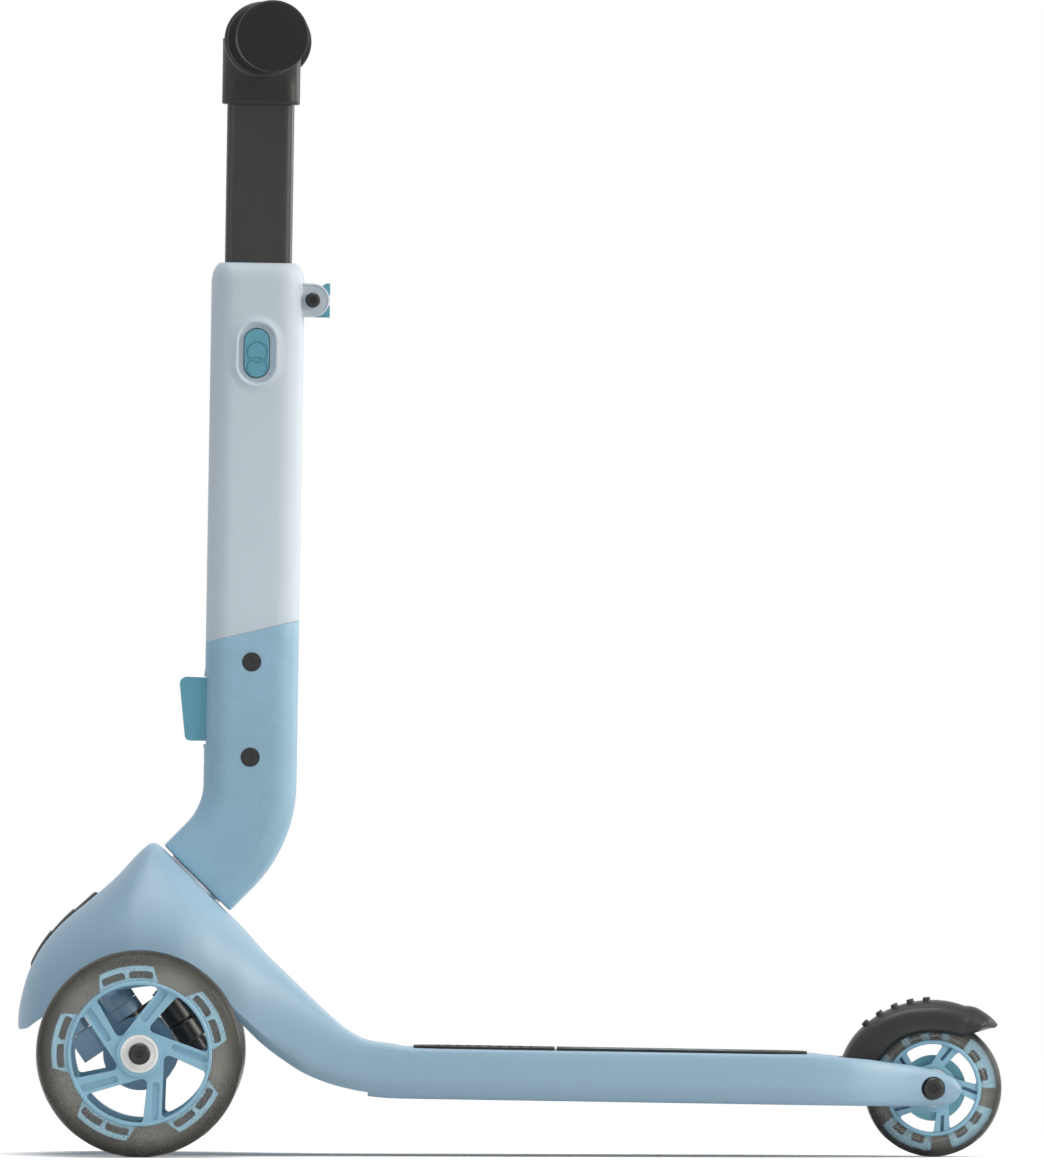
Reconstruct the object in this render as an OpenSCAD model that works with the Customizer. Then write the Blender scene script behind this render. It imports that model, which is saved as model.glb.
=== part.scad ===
// Three wheel kids scooter: two leaning front wheels, one braked rear wheel,
// a low moulded deck, and a telescoping T-bar that swivels flat over the deck.
// Lengths are in millimetres. Pieces are drawn in the deck's own frame, whose
// origin is the middle of the front axle line, with X to the rear and Z square
// to the deck. The whole scooter is then pitched and set down on its wheels.

/* [Wheels] */
// Diameter of each front wheel
front_wheel_d = 120; // [116:1:124]
// Diameter of the rear wheel
rear_wheel_d = 80; // [78:1:84]
// Diameter of the front rim under the tyre
front_rim_d = 84; // [82:1:86]
// Diameter of the rear rim under the tyre
rear_rim_d = 56; // [54:1:58]
// Width of every wheel
wheel_w = 24; // [22:1:26]
// Distance between the middles of the two front wheels
track = 216; // [210:2:230]
// Number of spokes in each wheel
spokes = 5; // [4:1:6]
// Outer diameter of each ball bearing
bearing_d = 22; // [20:1:24]
// Width of each ball bearing
bearing_w = 7; // [6:0.5:8]
// Diameter of the wheel axles
axle_d = 7.9; // [6:0.1:8]

/* [Frame] */
// Distance between the front and rear axles along the deck
wheelbase = 460; // [440:5:500]
// Height of the front axle line above the rear axle line, square to the deck
axle_drop = 13.8; // [12:0.2:16]
// Reach of the nose ahead of the front axle line
nose_reach = 71.6; // [68:0.4:76]
// Height of the deck's top face above the front axle line
deck_top = 4.8; // [3:0.2:8]
// Height of the deck's underside, measured the same way
deck_bottom = -24.4; // [-28:0.2:-22]
// Width of the deck
deck_w = 114; // [104:2:124]
// Width of the nose over the steering
nose_w = 170; // [164:2:174]
// Wall thickness of the moulded body
wall = 3.5; // [3:0.25:4]
// Width of the slot in the fork for the rear wheel and its fender
fork_slot_w = 34; // [32:1:36]
// Thickness of the grip pads on the deck
grip_t = 1.4; // [1:0.2:2.4]
// Thickness of the strip on the nose
strip_t = 1.6; // [1:0.2:2.4]

/* [Steering] */
// Tilt of the kingpins from square to the deck
kingpin_rake = 35; // [30:1:38]
// Distance of each kingpin from the middle of the scooter
kingpin_y = 67; // [65:1:69]
// Offset of the kingpin line behind the axle
kingpin_offset = 6.1; // [5:0.1:7]
// Diameter of the kingpins
kingpin_d = 8; // [6:0.5:9]
// Length of the steering arm from kingpin to tie rod pin
steer_arm = 29.5; // [28:0.5:31]
// Length of the lever from kingpin to rubber buffer
buffer_arm = 23.9; // [23:0.2:25]
// Diameter of the rubber buffers
buffer_d = 17; // [14:0.5:18]

/* [Column] */
// Fore and aft depth of the column
column_depth = 54; // [50:1:58]
// Width of the column across
column_w = 42; // [40:1:46]
// Wall of the column and the elbow
column_wall = 3.5; // [3:0.25:4]
// Inner radius of the elbow's bend
bend_inner_r = 33.6; // [30:0.4:38]
// Height of the bend's centre above the front axle line
bend_height = 156.6; // [150:1:164]
// Straight length between the bend and the swivel face
elbow_tail = 18.5; // [16:0.5:22]
// Slope of the swivel face below the deck's direction
swivel_slope = 44; // [42:0.5:46]
// Gap between the elbow and the nose
swivel_gap = 2; // [1.6:0.1:3]
// Height of the column's top above the front axle line
column_top = 459; // [440:1:480]
// Height of the seam between elbow and column at the middle
seam_height = 245; // [238:1:250]

/* [Bar] */
// Fore and aft depth of the telescoping tube
tube_depth = 39; // [36:0.5:40]
// Width of the telescoping tube across
tube_w = 28; // [26:0.5:29]
// Wall of the telescoping tube
tube_wall = 2; // [1.5:0.25:2.5]
// Height of the handlebar's middle above the front axle line
bar_height = 588.2; // [570:1:600]
// Width over both grips
bar_w = 280; // [260:5:320]
// Diameter of the handlebar core
bar_core_d = 22; // [20:0.5:24]
// Diameter of the grips' end discs
grip_disc_d = 41.8; // [38:0.4:44]
// Diameter of the grips under their ribs
grip_d = 31; // [29:0.5:33]
// Sweep of each handlebar end towards the rider
bar_sweep = 3.7; // [0:0.1:6]
// Spacing of the three height holes
height_step = 50; // [40:1:50]

/* [Hidden] */
$fn = 64;

// Finishes, as the photograph shows them
body_blue = "#9db8cf";
elbow_blue = "#7ba0ba";
hub_blue = "#8fb4cf";
column_white = "#cfd6dc";
teal = "#5892a5";
matte_black = "#2d2d2c";
tube_grey = "#3e3e3e";
tyre_grey = "#5c5a56";
steel = "#b9bcc0";

// Running and seating clearances
run = 0.05;      // shaft in its own bore
seat = 0.3;      // faces that slide past each other
eps = 0.01;

// Where the wheels stand, and the pitch that puts them all on the ground
front_r = front_wheel_d / 2;
rear_r = rear_wheel_d / 2;
rear_u = wheelbase;
rear_w = -axle_drop;
pitch = atan2(rear_w, rear_u)
    + asin((front_r - rear_r) / norm([rear_u, rear_w]));
rear_run = rear_u * cos(pitch) + rear_w * sin(pitch);
overall_length = nose_reach + rear_run + rear_r;
front_axle_x = -overall_length / 2 + nose_reach;

module in_frame() {
    translate([front_axle_x, 0, front_r]) rotate([0, pitch, 0]) children();
}

// Puts a piece drawn for the right side on the side that is asked for
module sided(side) {
    if (side < 0) mirror([0, 1, 0]) children();
    else children();
}

// Z points outboard, and the left wheel is seen the right way up
module at_front_wheel(side) {
    translate([0, side * track / 2, 0]) rotate([0, 0, side < 0 ? 0 : 180])
        rotate([90, 0, 0]) children();
}

module at_rear_wheel() {
    translate([rear_u, 0, rear_w]) rotate([90, 0, 0]) children();
}

// A cylinder along Y from one Y to another
module y_cylinder(r, y0, y1) {
    translate([0, y0, 0]) rotate([-90, 0, 0]) cylinder(r = r, h = y1 - y0);
}

// X is along the rake, Z points up the kingpin
module in_rake() {
    rotate([0, -kingpin_rake, 0]) children();
}

module at_kingpin() {
    in_rake() translate([kingpin_offset, kingpin_y, 0]) children();
}

// Column frame: Z runs up the column, at the column's middle line
column_u = bend_inner_r + column_depth / 2;
bend_r = column_u;
swivel_u = bend_r * cos(swivel_slope) - elbow_tail * sin(swivel_slope);
swivel_w = bend_height - bend_r * sin(swivel_slope) - elbow_tail * cos(swivel_slope);

module at_column() {
    translate([column_u, 0, 0]) children();
}

// Swivel frame: Z runs along the swivel axis, from the nose into the elbow
module at_swivel() {
    translate([swivel_u, 0, swivel_w]) rotate([0, swivel_slope, 0]) children();
}

// Round-cornered shapes, drawn with true arcs
module rounded_rect(x, y, r) {
    union() {
        square([x - 2 * r, y], center = true);
        square([x, y - 2 * r], center = true);
        for (i = [-1, 1], j = [-1, 1])
            translate([i * (x / 2 - r), j * (y / 2 - r)]) circle(r);
    }
}

module stadium(length, width) {
    square([length - width, width], center = true);
    for (i = [-1, 1]) translate([i * (length - width) / 2, 0]) circle(width / 2);
}

// Corner rounding: the arc of radius r that replaces the corner p1
function unit(v) = v / norm(v);
function corner_arc(p0, p1, p2, r, n = 4) =
    let (a = unit(p0 - p1), b = unit(p2 - p1),
         half = acos(max(-1, min(1, a * b))) / 2,
         reach = min(r / tan(half), 0.45 * norm(p0 - p1), 0.45 * norm(p2 - p1)),
         real_r = reach * tan(half),
         centre = p1 + unit(a + b) * real_r / sin(half),
         s = p1 + a * reach - centre, e = p1 + b * reach - centre,
         from = atan2(s.y, s.x),
         turn = atan2(s.x * e.y - s.y * e.x, s * e))
    [for (i = [0:n]) centre + real_r * [cos(from + turn * i / n), sin(from + turn * i / n)]];

// Lofted body

// The nose's slope carries the swivel and runs down to the deck
slope_u = swivel_u - swivel_gap * sin(swivel_slope);
slope_w = swivel_w - swivel_gap * cos(swivel_slope);
function slope_at(u) = slope_w - (u - slope_u) * tan(swivel_slope);
apex_u = 5;
apex_round = 1.3;
nose_top = slope_at(apex_u) - apex_round;

// Behind the swivel's flat the slope dips a little, and eases into the deck along a hyperbola
flat_end = 60;
dip = 2.2;
ease = 11;
function top_at(u) = let (d = slope_at(u) - dip - deck_top)
    u < flat_end ? slope_at(u) : deck_top + (d + sqrt(d * d + ease * ease)) / 2;

// Stations of the body, front to rear: place, underside, top, half width at the
// underside, half width of the flat top, squareness of the side, lower corner radius
function station(u, bottom, top, half, flat, square_n, low_r) =
    [u, bottom, top, half, flat, square_n, low_r];

nose_half = nose_w / 2;
deck_half = deck_w / 2;
deck_flat = deck_half - 3.5;

// Share of the reach, underside, share of the nose's height, share of the half width,
// half width of the flat top
nose_front = [
    [1.000, 14.5, 0.140, 0.24, 16], [0.994, 13.0, 0.190, 0.38, 24],
    [0.977, 12.2, 0.246, 0.49, 28], [0.930, 12.8, 0.355, 0.61, 31],
    [0.830, 18.0, 0.478, 0.725, 32], [0.660, 25.0, 0.603, 0.82, 30],
    [0.440, 31.0, 0.716, 0.925, 28], [0.225, 35.5, 0.828, 0.98, 26],
    [0.070, 37.5, 0.930, 1.00, 25], [-0.015, 38.5, 0.980, 1.00, 24.5]];

// Place behind the front axle, height of the underside above the deck's, share of the
// way from nose to deck width, half width of the flat top
neck = [
    [apex_u + 4.5, 63.5, 0.00, 25], [20, 64.0, 0.04, 27], [34, 61.5, 0.20, 29.5],
    [46, 53.2, 0.35, 31.5], [58, 42.3, 0.47, 34], [70, 30.8, 0.61, 38],
    [82, 21.4, 0.73, 42], [94, 13.4, 0.82, 45.5], [106, 7.8, 0.90, 48.5],
    [119, 3.8, 0.95, 51], [132, 1.2, 0.985, 52.8], [145, 0.2, 1.00, deck_flat]];

// Place behind the rear axle, top, underside, half width, half width of the flat top
fork_end = [
    [-62, 3.9, 0, 56.5, 52.5], [-50, 3.1, 0, 55, 50.5], [-38, 2.3, 0, 50.5, 46],
    [-26, 0.8, 0, 43.5, 38.5], [-13, -1.1, 0, 36.5, 32], [-3, -3.2, 0, 33, 28.5],
    [5, -5.7, 0.2, 31, 26.5], [11, -9.2, 1.6, 29.8, 25.5], [14.4, -12.4, 4.4, 29, 25],
    [15.8, -15.2, 7, 28.6, 24.8]];

low_corner = 9;
stations = concat(
    [for (s = nose_front) station(-nose_reach * s[0], s[1], nose_top * s[2],
        nose_half * s[3], s[4], 2, 1.5)],
    [station(apex_u, deck_bottom + 63.2, nose_top, nose_half, 24.5, 2, 1.5)],
    [for (s = neck) station(s[0], deck_bottom + s[1],
        top_at(s[0]),
        nose_half + (deck_half - nose_half) * s[2], s[3], 2 + 0.8 * s[2],
        1.5 + (low_corner - 1.5) * s[2])],
    [station(158, deck_bottom, deck_top, deck_half, deck_flat, 2.8, low_corner),
     station(rear_u - 73, deck_bottom, deck_top, deck_half, deck_flat, 2.8, low_corner)],
    [for (s = fork_end) station(rear_u + s[0], deck_bottom + s[2], s[1],
        s[3] * deck_w / 114, s[4] * deck_w / 114, 2.8,
        min(low_corner, (s[1] - deck_bottom - s[2]) * 0.4))]);

// Half of a station's outline from the middle of the underside to the middle of the top:
// a round lower corner, then a superellipse up to the flat top
low_steps = 3;
side_steps = 8;
function half_outline(s) =
    let (r = s[6], foot = s[1] + r, rise = s[2] - foot, lean = s[3] - s[4])
    concat([for (i = [0:low_steps - 1]) let (a = 90 * i / low_steps)
            [s[3] - r + r * sin(a), foot - r * cos(a)]],
        [for (i = [0:side_steps]) let (a = 90 * i / side_steps)
            [s[4] + lean * pow(cos(a), 2 / s[5]), foot + rise * pow(sin(a), 2 / s[5])]]);

function ring(s) = let (h = half_outline(s), n = len(h)) concat(
    [for (p = h) [s[0], p.x, p.y]],
    [for (i = [n - 1:-1:0]) [s[0], -h[i].x, h[i].y]]);

// Solid through rings of points. The ends are the rings themselves, or the given faces.
module loft(rings, ends = []) {
    n = len(rings[0]);
    m = len(rings);
    caps = len(ends) > 0 ? ends : [[for (i = [0:n - 1]) i]];
    polyhedron(
        points = [for (r = rings) each r],
        faces = concat(caps,
            [for (k = [0:m - 2]) for (i = [0:n - 1]) let (j = (i + 1) % n)
                each [[k * n + i, (k + 1) * n + i, (k + 1) * n + j],
                      [k * n + i, (k + 1) * n + j, k * n + j]]],
            [for (f = caps) [for (i = [len(f) - 1:-1:0]) (m - 1) * n + f[i]]]),
        convexity = 6);
}

// The hollow under the nose, one wall inside the outer skin and open below
hollow_first = 3;
hollow_last = 21;
hollow_depth = 40;
function hollow_station(i) =
    let (s = stations[i], front = max(0, -s[0] / nose_reach))
    [s[0] + 1.5 * wall * front + (i == hollow_first ? 0.2 : 0), s[1] - hollow_depth,
     s[2] - wall - 1.2 * wall * front, s[3] - wall, max(6, s[4] - wall), s[5], 1];

// Ribbed underside of the deck: pockets between lengthwise and crosswise ribs
rib_t = 2.5;
deck_pockets_u = 7;
deck_pockets_y = 4;
pocket_u0 = 132;
pocket_u1 = rear_u - 66;
module deck_pockets() {
    step_u = (pocket_u1 - pocket_u0) / deck_pockets_u;
    inner_w = deck_w - 2 * (low_corner + 1);
    step_y = inner_w / deck_pockets_y;
    depth = deck_top - wall - deck_bottom;
    for (i = [0:deck_pockets_u - 1], j = [0:deck_pockets_y - 1])
        translate([pocket_u0 + (i + 0.5) * step_u, -inner_w / 2 + (j + 0.5) * step_y,
            deck_bottom + (depth - 1) / 2])
            cube([step_u - rib_t, step_y - rib_t, depth + 1], center = true);
}

// Fender hinge line, and the slot that the rear wheel and fender share
fender_u = rear_u - 49;
fender_w = -5;
fender_pin_d = 5;
slot_u = fender_u - 6;
slot_len = 120;
bolt_head_r = 6.4;
head_recess_r = 6.9;
arm_face = 29.5;

module frame_shell() {
    color(body_blue) in_frame() difference() {
        union() {
            difference() {
                loft([for (s = stations) ring(s)]);
                loft([for (i = [hollow_first:hollow_last]) ring(hollow_station(i))]);
            }
            swivel_boss();
            for (side = [-1, 1]) sided(side) kingpin_tower();
        }
        deck_pockets();
        // Wheel slot between the fork arms, rounded at its front
        translate([slot_u + slot_len / 2, 0, -60])
            linear_extrude(120) rounded_rect(slot_len, fork_slot_w, 4);
        // Axle bore with a recess for each head
        translate([rear_u, 0, rear_w]) {
            y_cylinder(axle_d / 2, -60, 60);
            for (side = [-1, 1]) sided(side) y_cylinder(head_recess_r, arm_face, 60);
        }
        translate([fender_u, 0, fender_w])
            y_cylinder(fender_pin_d / 2, -fender_pin_half, fender_pin_half);
        at_swivel() translate([0, 0, -60]) cylinder(d = swivel_bolt_d, h = 60);
        for (side = [-1, 1]) sided(side) at_kingpin()
            translate([0, 0, split_h - 1]) cylinder(d = kingpin_d, h = kingpin_grip + 1);
    }
}

// Solid seat for the swivel bolt inside the nose
swivel_bolt_d = 10;
swivel_boss_r = 21;
swivel_boss_h = 24;
module swivel_boss() {
    at_swivel() translate([0, 0, -swivel_gap - swivel_boss_h])
        cylinder(r = swivel_boss_r, h = swivel_boss_h);
}

// The kingpins hang from towers inside the nose; knuckles turn below the split plane
split_h = 29;
kingpin_grip = 20;
boss_r = 8.5;
tower_h = 24;
knuckle_foot = -12;
module kingpin_tower() {
    at_kingpin() translate([0, 0, split_h]) cylinder(r = boss_r, h = tower_h);
    // Web that ties the tower to the nose's side wall
    in_rake() translate([kingpin_offset - 3, kingpin_y, split_h + 8])
        cube([6, nose_half - wall / 2 - kingpin_y - 0.5, tower_h - 12]);
}

// Grip pads and their inlay
pad_u0 = 158;
pad_u1 = rear_u - 73.5;
pad_split = 240;
pad_gap = 1.2;
pad_half = 44;
inlay_u0 = 258;
inlay_bars = 6;
inlay_pitch = 17;
inlay_bar_w = 7;
inlay_len = 46;

module pad_outline() {
    translate([(pad_u0 + pad_u1) / 2, 0]) rounded_rect(pad_u1 - pad_u0, 2 * pad_half, 26);
}

module inlay_bar(grow) {
    linear_extrude(grip_t) rotate(62) stadium(inlay_len + 2 * grow, inlay_bar_w + 2 * grow);
}

module deck_grip() {
    color(matte_black) in_frame() translate([0, 0, deck_top]) difference() {
        linear_extrude(grip_t) difference() {
            pad_outline();
            translate([pad_split, -100]) square([pad_gap, 200]);
        }
        for (i = [0:inlay_bars - 1]) translate([inlay_u0 + i * inlay_pitch, 0, -eps])
            scale([1, 1, 1.1]) inlay_bar(0);
        // Shallow grooves across the front and rear fields
        for (u = [pad_u0 + 14:6:pad_split - 10])
            translate([u, 0, grip_t - 0.5]) linear_extrude(1) rotate(90)
                stadium(2 * pad_half - 20, 2);
    }
}

module deck_inlay() {
    color(teal) in_frame() translate([0, 0, deck_top])
        for (i = [0:inlay_bars - 1]) translate([inlay_u0 + i * inlay_pitch, 0, 0])
            inlay_bar(0);
}

// The strip lies on the flat top of the nose, between two of its stations
strip_first = 3;
strip_last = 6;
strip_half = 22;
module nose_strip() {
    low = [for (i = [strip_first:strip_last]) [stations[i][0], stations[i][2]]];
    n = len(low);
    rise = [for (i = [0:n - 1]) let (t = unit(low[min(i + 1, n - 1)] - low[max(i - 1, 0)]))
        [-t.y, t.x]];
    high = [for (i = [n - 1:-1:0]) low[i] + rise[i] * strip_t];
    color(matte_black) in_frame() rotate([90, 0, 0]) difference() {
        translate([0, 0, -strip_half]) linear_extrude(2 * strip_half)
            polygon(concat(low, high));
        // Grooves across the strip
        for (i = [0:n - 2], f = [0.35, 0.8])
            translate(concat(low[i] + (low[i + 1] - low[i]) * f + rise[i] * (strip_t + 0.3),
                -strip_half - 1)) cylinder(r = 1.1, h = 2 * strip_half + 2, $fn = 24);
    }
}

// Swivel: a fixed disc with a half-circle track that guides the lock pin
swivel_plate_r = 19.2;
lock_track_r = 13;
lock_pin_d = 4;
lock_bite = 1.5;
lock_collar_d = 6.4;
lock_clear = 0.4;
module swivel_plate() {
    color(steel) in_frame() at_swivel() translate([0, 0, -swivel_gap]) difference() {
        cylinder(r = swivel_plate_r, h = swivel_gap - seat);
        translate([0, 0, -1]) cylinder(d = swivel_bolt_d, h = swivel_gap + 2);
        translate([0, 0, -1]) rotate([0, 0, 180]) rotate_extrude(angle = 180)
            translate([lock_track_r - lock_pin_d / 2 - 0.3, 0])
                square([lock_pin_d + 0.6, swivel_gap + 2]);
        for (x = [-1, 1]) translate([x * lock_track_r, 0, -1])
            cylinder(d = lock_pin_d + 0.6, h = swivel_gap + 2);
    }
}

elbow_floor = 8;
swivel_nut_h = 6;
swivel_washer_t = 1.5;
swivel_washer_r = lock_track_r - lock_collar_d / 2 - lock_clear;
module swivel_bolt() {
    color(steel) in_frame() at_swivel() {
        translate([0, 0, -swivel_gap - swivel_boss_h - 6])
            cylinder(d = 17, h = 6, $fn = 6);
        translate([0, 0, -swivel_gap - swivel_boss_h - eps])
            cylinder(d = swivel_bolt_d, h = swivel_gap + swivel_boss_h + elbow_floor
                + swivel_nut_h + 3);
    }
}

module swivel_nut() {
    color(steel) in_frame() at_swivel() difference() {
        union() {
            translate([0, 0, elbow_floor + seat])
                cylinder(r = swivel_washer_r, h = swivel_washer_t);
            translate([0, 0, elbow_floor + seat + swivel_washer_t - eps]) rotate(30)
                cylinder(r = swivel_washer_r - 0.4, h = swivel_nut_h, $fn = 6);
        }
        translate([0, 0, elbow_floor - 1]) cylinder(d = swivel_bolt_d, h = 20);
    }
}

// Kingpin bolts, fixed in the nose, with a head under each knuckle
module kingpins() {
    color(steel) in_frame() for (side = [-1, 1]) sided(side) at_kingpin() {
        translate([0, 0, knuckle_foot - seat])
            cylinder(d = kingpin_d, h = split_h + kingpin_grip - knuckle_foot);
        translate([0, 0, knuckle_foot - seat - 4]) cylinder(r = 6.5, h = 4 + eps);
    }
}

// Wheels

// One window between two swirled spokes: a filleted three-sided opening
function line_hit(a0, a1, b0, b1) =
    let (da = a1 - a0, db = b1 - b0, d = da.x * db.y - da.y * db.x, c = b0 - a0)
    a0 + da * (c.x * db.y - c.y * db.x) / d;
function circle_hit(p, q, r) =
    let (d = q - p, a = d * d, b = 2 * (p * d), c = p * p - r * r,
         t = (-b + sqrt(b * b - 4 * a * c)) / (2 * a)) p + d * t;
function spoke_point(dir, along, aside) =
    along * [cos(dir), sin(dir)] + aside * [-sin(dir), cos(dir)];
function window_outline(dir, offset, half_in, half_out, r_in, r_out, fillet) =
    let (next = dir + 360 / spokes,
         a0 = spoke_point(dir, r_in, offset + half_in),
         a1 = spoke_point(dir, r_out, offset + half_out),
         b0 = spoke_point(next, r_in, offset - half_in),
         b1 = spoke_point(next, r_out, offset - half_out),
         root = line_hit(a0, a1, b0, b1),
         end_a = circle_hit(a0, a1, r_out), end_b = circle_hit(b0, b1, r_out),
         from = atan2(end_a.y, end_a.x),
         sweep = (atan2(end_b.y, end_b.x) - from + 720) % 360,
         arc = [for (i = [1:4]) r_out * [cos(from + sweep * i / 5), sin(from + sweep * i / 5)]])
    concat(corner_arc(end_b, root, end_a, fillet),
        corner_arc(root, end_a, arc[0], fillet * 0.8), arc,
        corner_arc(arc[3], end_b, root, fillet * 0.8));

// A pad of the rim's core that reaches into the tyre, and the two slots in it
function arc_points(r, from, to, n) = [for (i = [0:n]) let (a = from + (to - from) * i / n)
    r * [cos(a), sin(a)]];
module core_pad(mid, half_in, half_out, r_in, r_out) {
    polygon(concat(arc_points(r_in, mid - half_in, mid + half_in, 6),
        arc_points(r_out, mid + half_out, mid - half_out, 6)));
}

// A slot along an arc, with its outer corners rounded
module arc_slot(mid, half, r, width, depth, round_r) {
    low = arc_points(r - width / 2, mid - half, mid + half, 2);
    high = arc_points(r + width / 2, mid + half, mid - half, 3);
    translate([0, 0, -depth]) linear_extrude(2 * depth)
        polygon(concat(low, corner_arc(low[2], high[0], high[1], round_r, 3),
            [high[1], high[2]], corner_arc(high[2], high[3], low[0], round_r, 3)));
}

front_spoke_dir = -21.5;
front_spoke_offset = 10.3;
front_window_r = front_rim_d / 2 - 2.3;
front_boss_r = bearing_d / 2 + 2.3;
front_pad_mid = 28;
front_pad_r = front_rim_d / 2 + 9;
web_t = 7;
web_set = 1.2;
pad_t = 14;
groove_t = 1.2;
bore_step = 2;

module front_pads() {
    for (k = [0:spokes - 1])
        core_pad(front_pad_mid + k * 360 / spokes, 25, 18, front_rim_d / 2 - 0.5, front_pad_r);
}

module front_hub() {
    w = wheel_w;
    difference() {
        union() {
            rotate_extrude() polygon([[front_window_r, -w / 2 + 1], [front_rim_d / 2, -w / 2],
                [front_rim_d / 2, w / 2 - 0.6], [front_rim_d / 2 - 0.6, w / 2],
                [front_window_r + 0.4, w / 2], [front_window_r, w / 2 - 0.8]]);
            translate([0, 0, w / 2 - web_set - web_t]) linear_extrude(web_t) difference() {
                circle(front_window_r + 0.5);
                for (k = [0:spokes - 1])
                    polygon(window_outline(front_spoke_dir + k * 360 / spokes,
                        front_spoke_offset, 4.45, 5.4, 15, front_window_r + 0.25, 3));
            }
            translate([0, 0, -w / 2]) cylinder(r = front_boss_r, h = w);
            translate([0, 0, -pad_t / 2]) linear_extrude(pad_t) front_pads();
        }
        translate([0, 0, -w / 2 - 1]) cylinder(d = bearing_d, h = bearing_w + 1);
        translate([0, 0, w / 2 - bearing_w]) cylinder(d = bearing_d, h = bearing_w + 1);
        cylinder(d = bearing_d - 2 * bore_step, h = w, center = true);
        // Grooves in the spoke faces
        for (k = [0:spokes - 1]) rotate(front_spoke_dir + 2 + k * 360 / spokes)
            translate([27, front_spoke_offset + 0.1, w / 2 - web_set - groove_t])
                linear_extrude(5) stadium(22, 3.8);
        for (k = [0:spokes - 1], s = [-1, 1])
            arc_slot(front_pad_mid + k * 360 / spokes + s * 10.3, 8.6,
                front_rim_d / 2 + 4, 4, pad_t, 1.6);
    }
}

// Tyre section: straight beads, then a full round crown
function tyre_section(r_rim, r_out, w) =
    let (r_side = r_out - 0.42 * w)
    concat([[r_rim, -w / 2 + 1], [r_side, -w / 2]],
        [for (a = [-75:15:75]) [r_side + (r_out - r_side) * cos(a), w / 2 * sin(a)]],
        [[r_side, w / 2], [r_rim, w / 2 - 1]]);

module front_tyre() {
    difference() {
        rotate_extrude($fn = 96)
            polygon(tyre_section(front_rim_d / 2, front_r, wheel_w));
        translate([0, 0, -pad_t / 2]) linear_extrude(pad_t) front_pads();
    }
}

// A shielded ball bearing: two rings with the shields set back between them
module bearing() {
    race = 1.6;
    rotate_extrude() {
        translate([axle_d / 2 + run, 0]) square([race, bearing_w]);
        translate([bearing_d / 2 - race, 0]) square([race, bearing_w]);
        translate([axle_d / 2 + run + race - eps, 0.4])
            square([bearing_d / 2 - axle_d / 2 - run - 2 * race + 2 * eps, bearing_w - 0.8]);
    }
}

module bearing_pair() {
    for (s = [-1, 1]) mirror([0, 0, s < 0 ? 1 : 0])
        translate([0, 0, wheel_w / 2 - bearing_w]) bearing();
}

module bearing_spacer() {
    difference() {
        cylinder(d = axle_d + 3.6, h = wheel_w - 2 * bearing_w, center = true);
        cylinder(d = axle_d + 2 * run, h = wheel_w, center = true);
    }
}

module hub_left() { color(hub_blue) in_frame() at_front_wheel(-1) front_hub(); }
module hub_right() { color(hub_blue) in_frame() sided(-1) at_front_wheel(-1) front_hub(); }
module tyre_left() { color(tyre_grey) in_frame() at_front_wheel(-1) front_tyre(); }
module tyre_right() { color(tyre_grey) in_frame() sided(-1) at_front_wheel(-1) front_tyre(); }
module bearings_left() { color("white") in_frame() at_front_wheel(-1) bearing_pair(); }
module bearings_right() { color("white") in_frame() at_front_wheel(1) bearing_pair(); }
module wheel_spacer_left() { color(steel) in_frame() at_front_wheel(-1) bearing_spacer(); }
module wheel_spacer_right() { color(steel) in_frame() at_front_wheel(1) bearing_spacer(); }

// Rear wheel
rear_spoke_dir = -20.2;
rear_spoke_offset = 6.5;
rear_window_r = rear_rim_d / 2 - 2.4;
rear_boss_r = 13.9;
rear_pad_mid = 27;
core_ring_r = 19.1;
core_ring_t = 6;
rear_pad_r = rear_rim_d / 2 + 8;

module rear_pads() {
    for (k = [0:spokes - 1])
        core_pad(rear_pad_mid + k * 360 / spokes, 26, 26, rear_rim_d / 2 - 0.5, rear_pad_r);
}

module hub_rear() {
    w = wheel_w;
    color(hub_blue) in_frame() at_rear_wheel() difference() {
        union() {
            rotate_extrude() polygon([[rear_window_r, -w / 2 + 1], [rear_rim_d / 2, -w / 2],
                [rear_rim_d / 2, w / 2 - 0.6], [rear_rim_d / 2 - 0.6, w / 2],
                [rear_window_r + 0.4, w / 2], [rear_window_r, w / 2 - 0.8]]);
            translate([0, 0, w / 2 - web_set - web_t]) linear_extrude(web_t) difference() {
                circle(rear_window_r + 0.5);
                for (k = [0:spokes - 1])
                    polygon(window_outline(rear_spoke_dir + k * 360 / spokes,
                        rear_spoke_offset, 3.7, 4.8, 14.5, rear_window_r + 0.25, 1.8));
            }
            translate([0, 0, -w / 2]) cylinder(r = rear_boss_r, h = w);
            translate([0, 0, -pad_t / 2]) linear_extrude(pad_t) rear_pads();
        }
        translate([0, 0, -w / 2 - 1]) cylinder(d = bearing_d, h = bearing_w + 1);
        translate([0, 0, w / 2 - bearing_w]) cylinder(d = bearing_d, h = bearing_w + 1);
        cylinder(d = bearing_d - 2 * bore_step, h = w, center = true);
        // Deep narrow slots down the middle of each spoke
        for (k = [0:spokes - 1]) rotate(rear_spoke_dir + k * 360 / spokes)
            translate([20.2, rear_spoke_offset, w / 2 - web_set - 4])
                linear_extrude(10) stadium(9.5, 1.9);
        for (k = [0:spokes - 1], s = [-1, 1])
            arc_slot(rear_pad_mid + k * 360 / spokes + s * 11.2, 6.9,
                rear_rim_d / 2 + 2.6, 3.8, pad_t, 1.5);
    }
}

module core_ring_rear() {
    color(teal) in_frame() at_rear_wheel() difference() {
        cylinder(r = core_ring_r, h = core_ring_t, center = true);
        cylinder(r = rear_boss_r, h = 2 * core_ring_t, center = true);
    }
}

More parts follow.
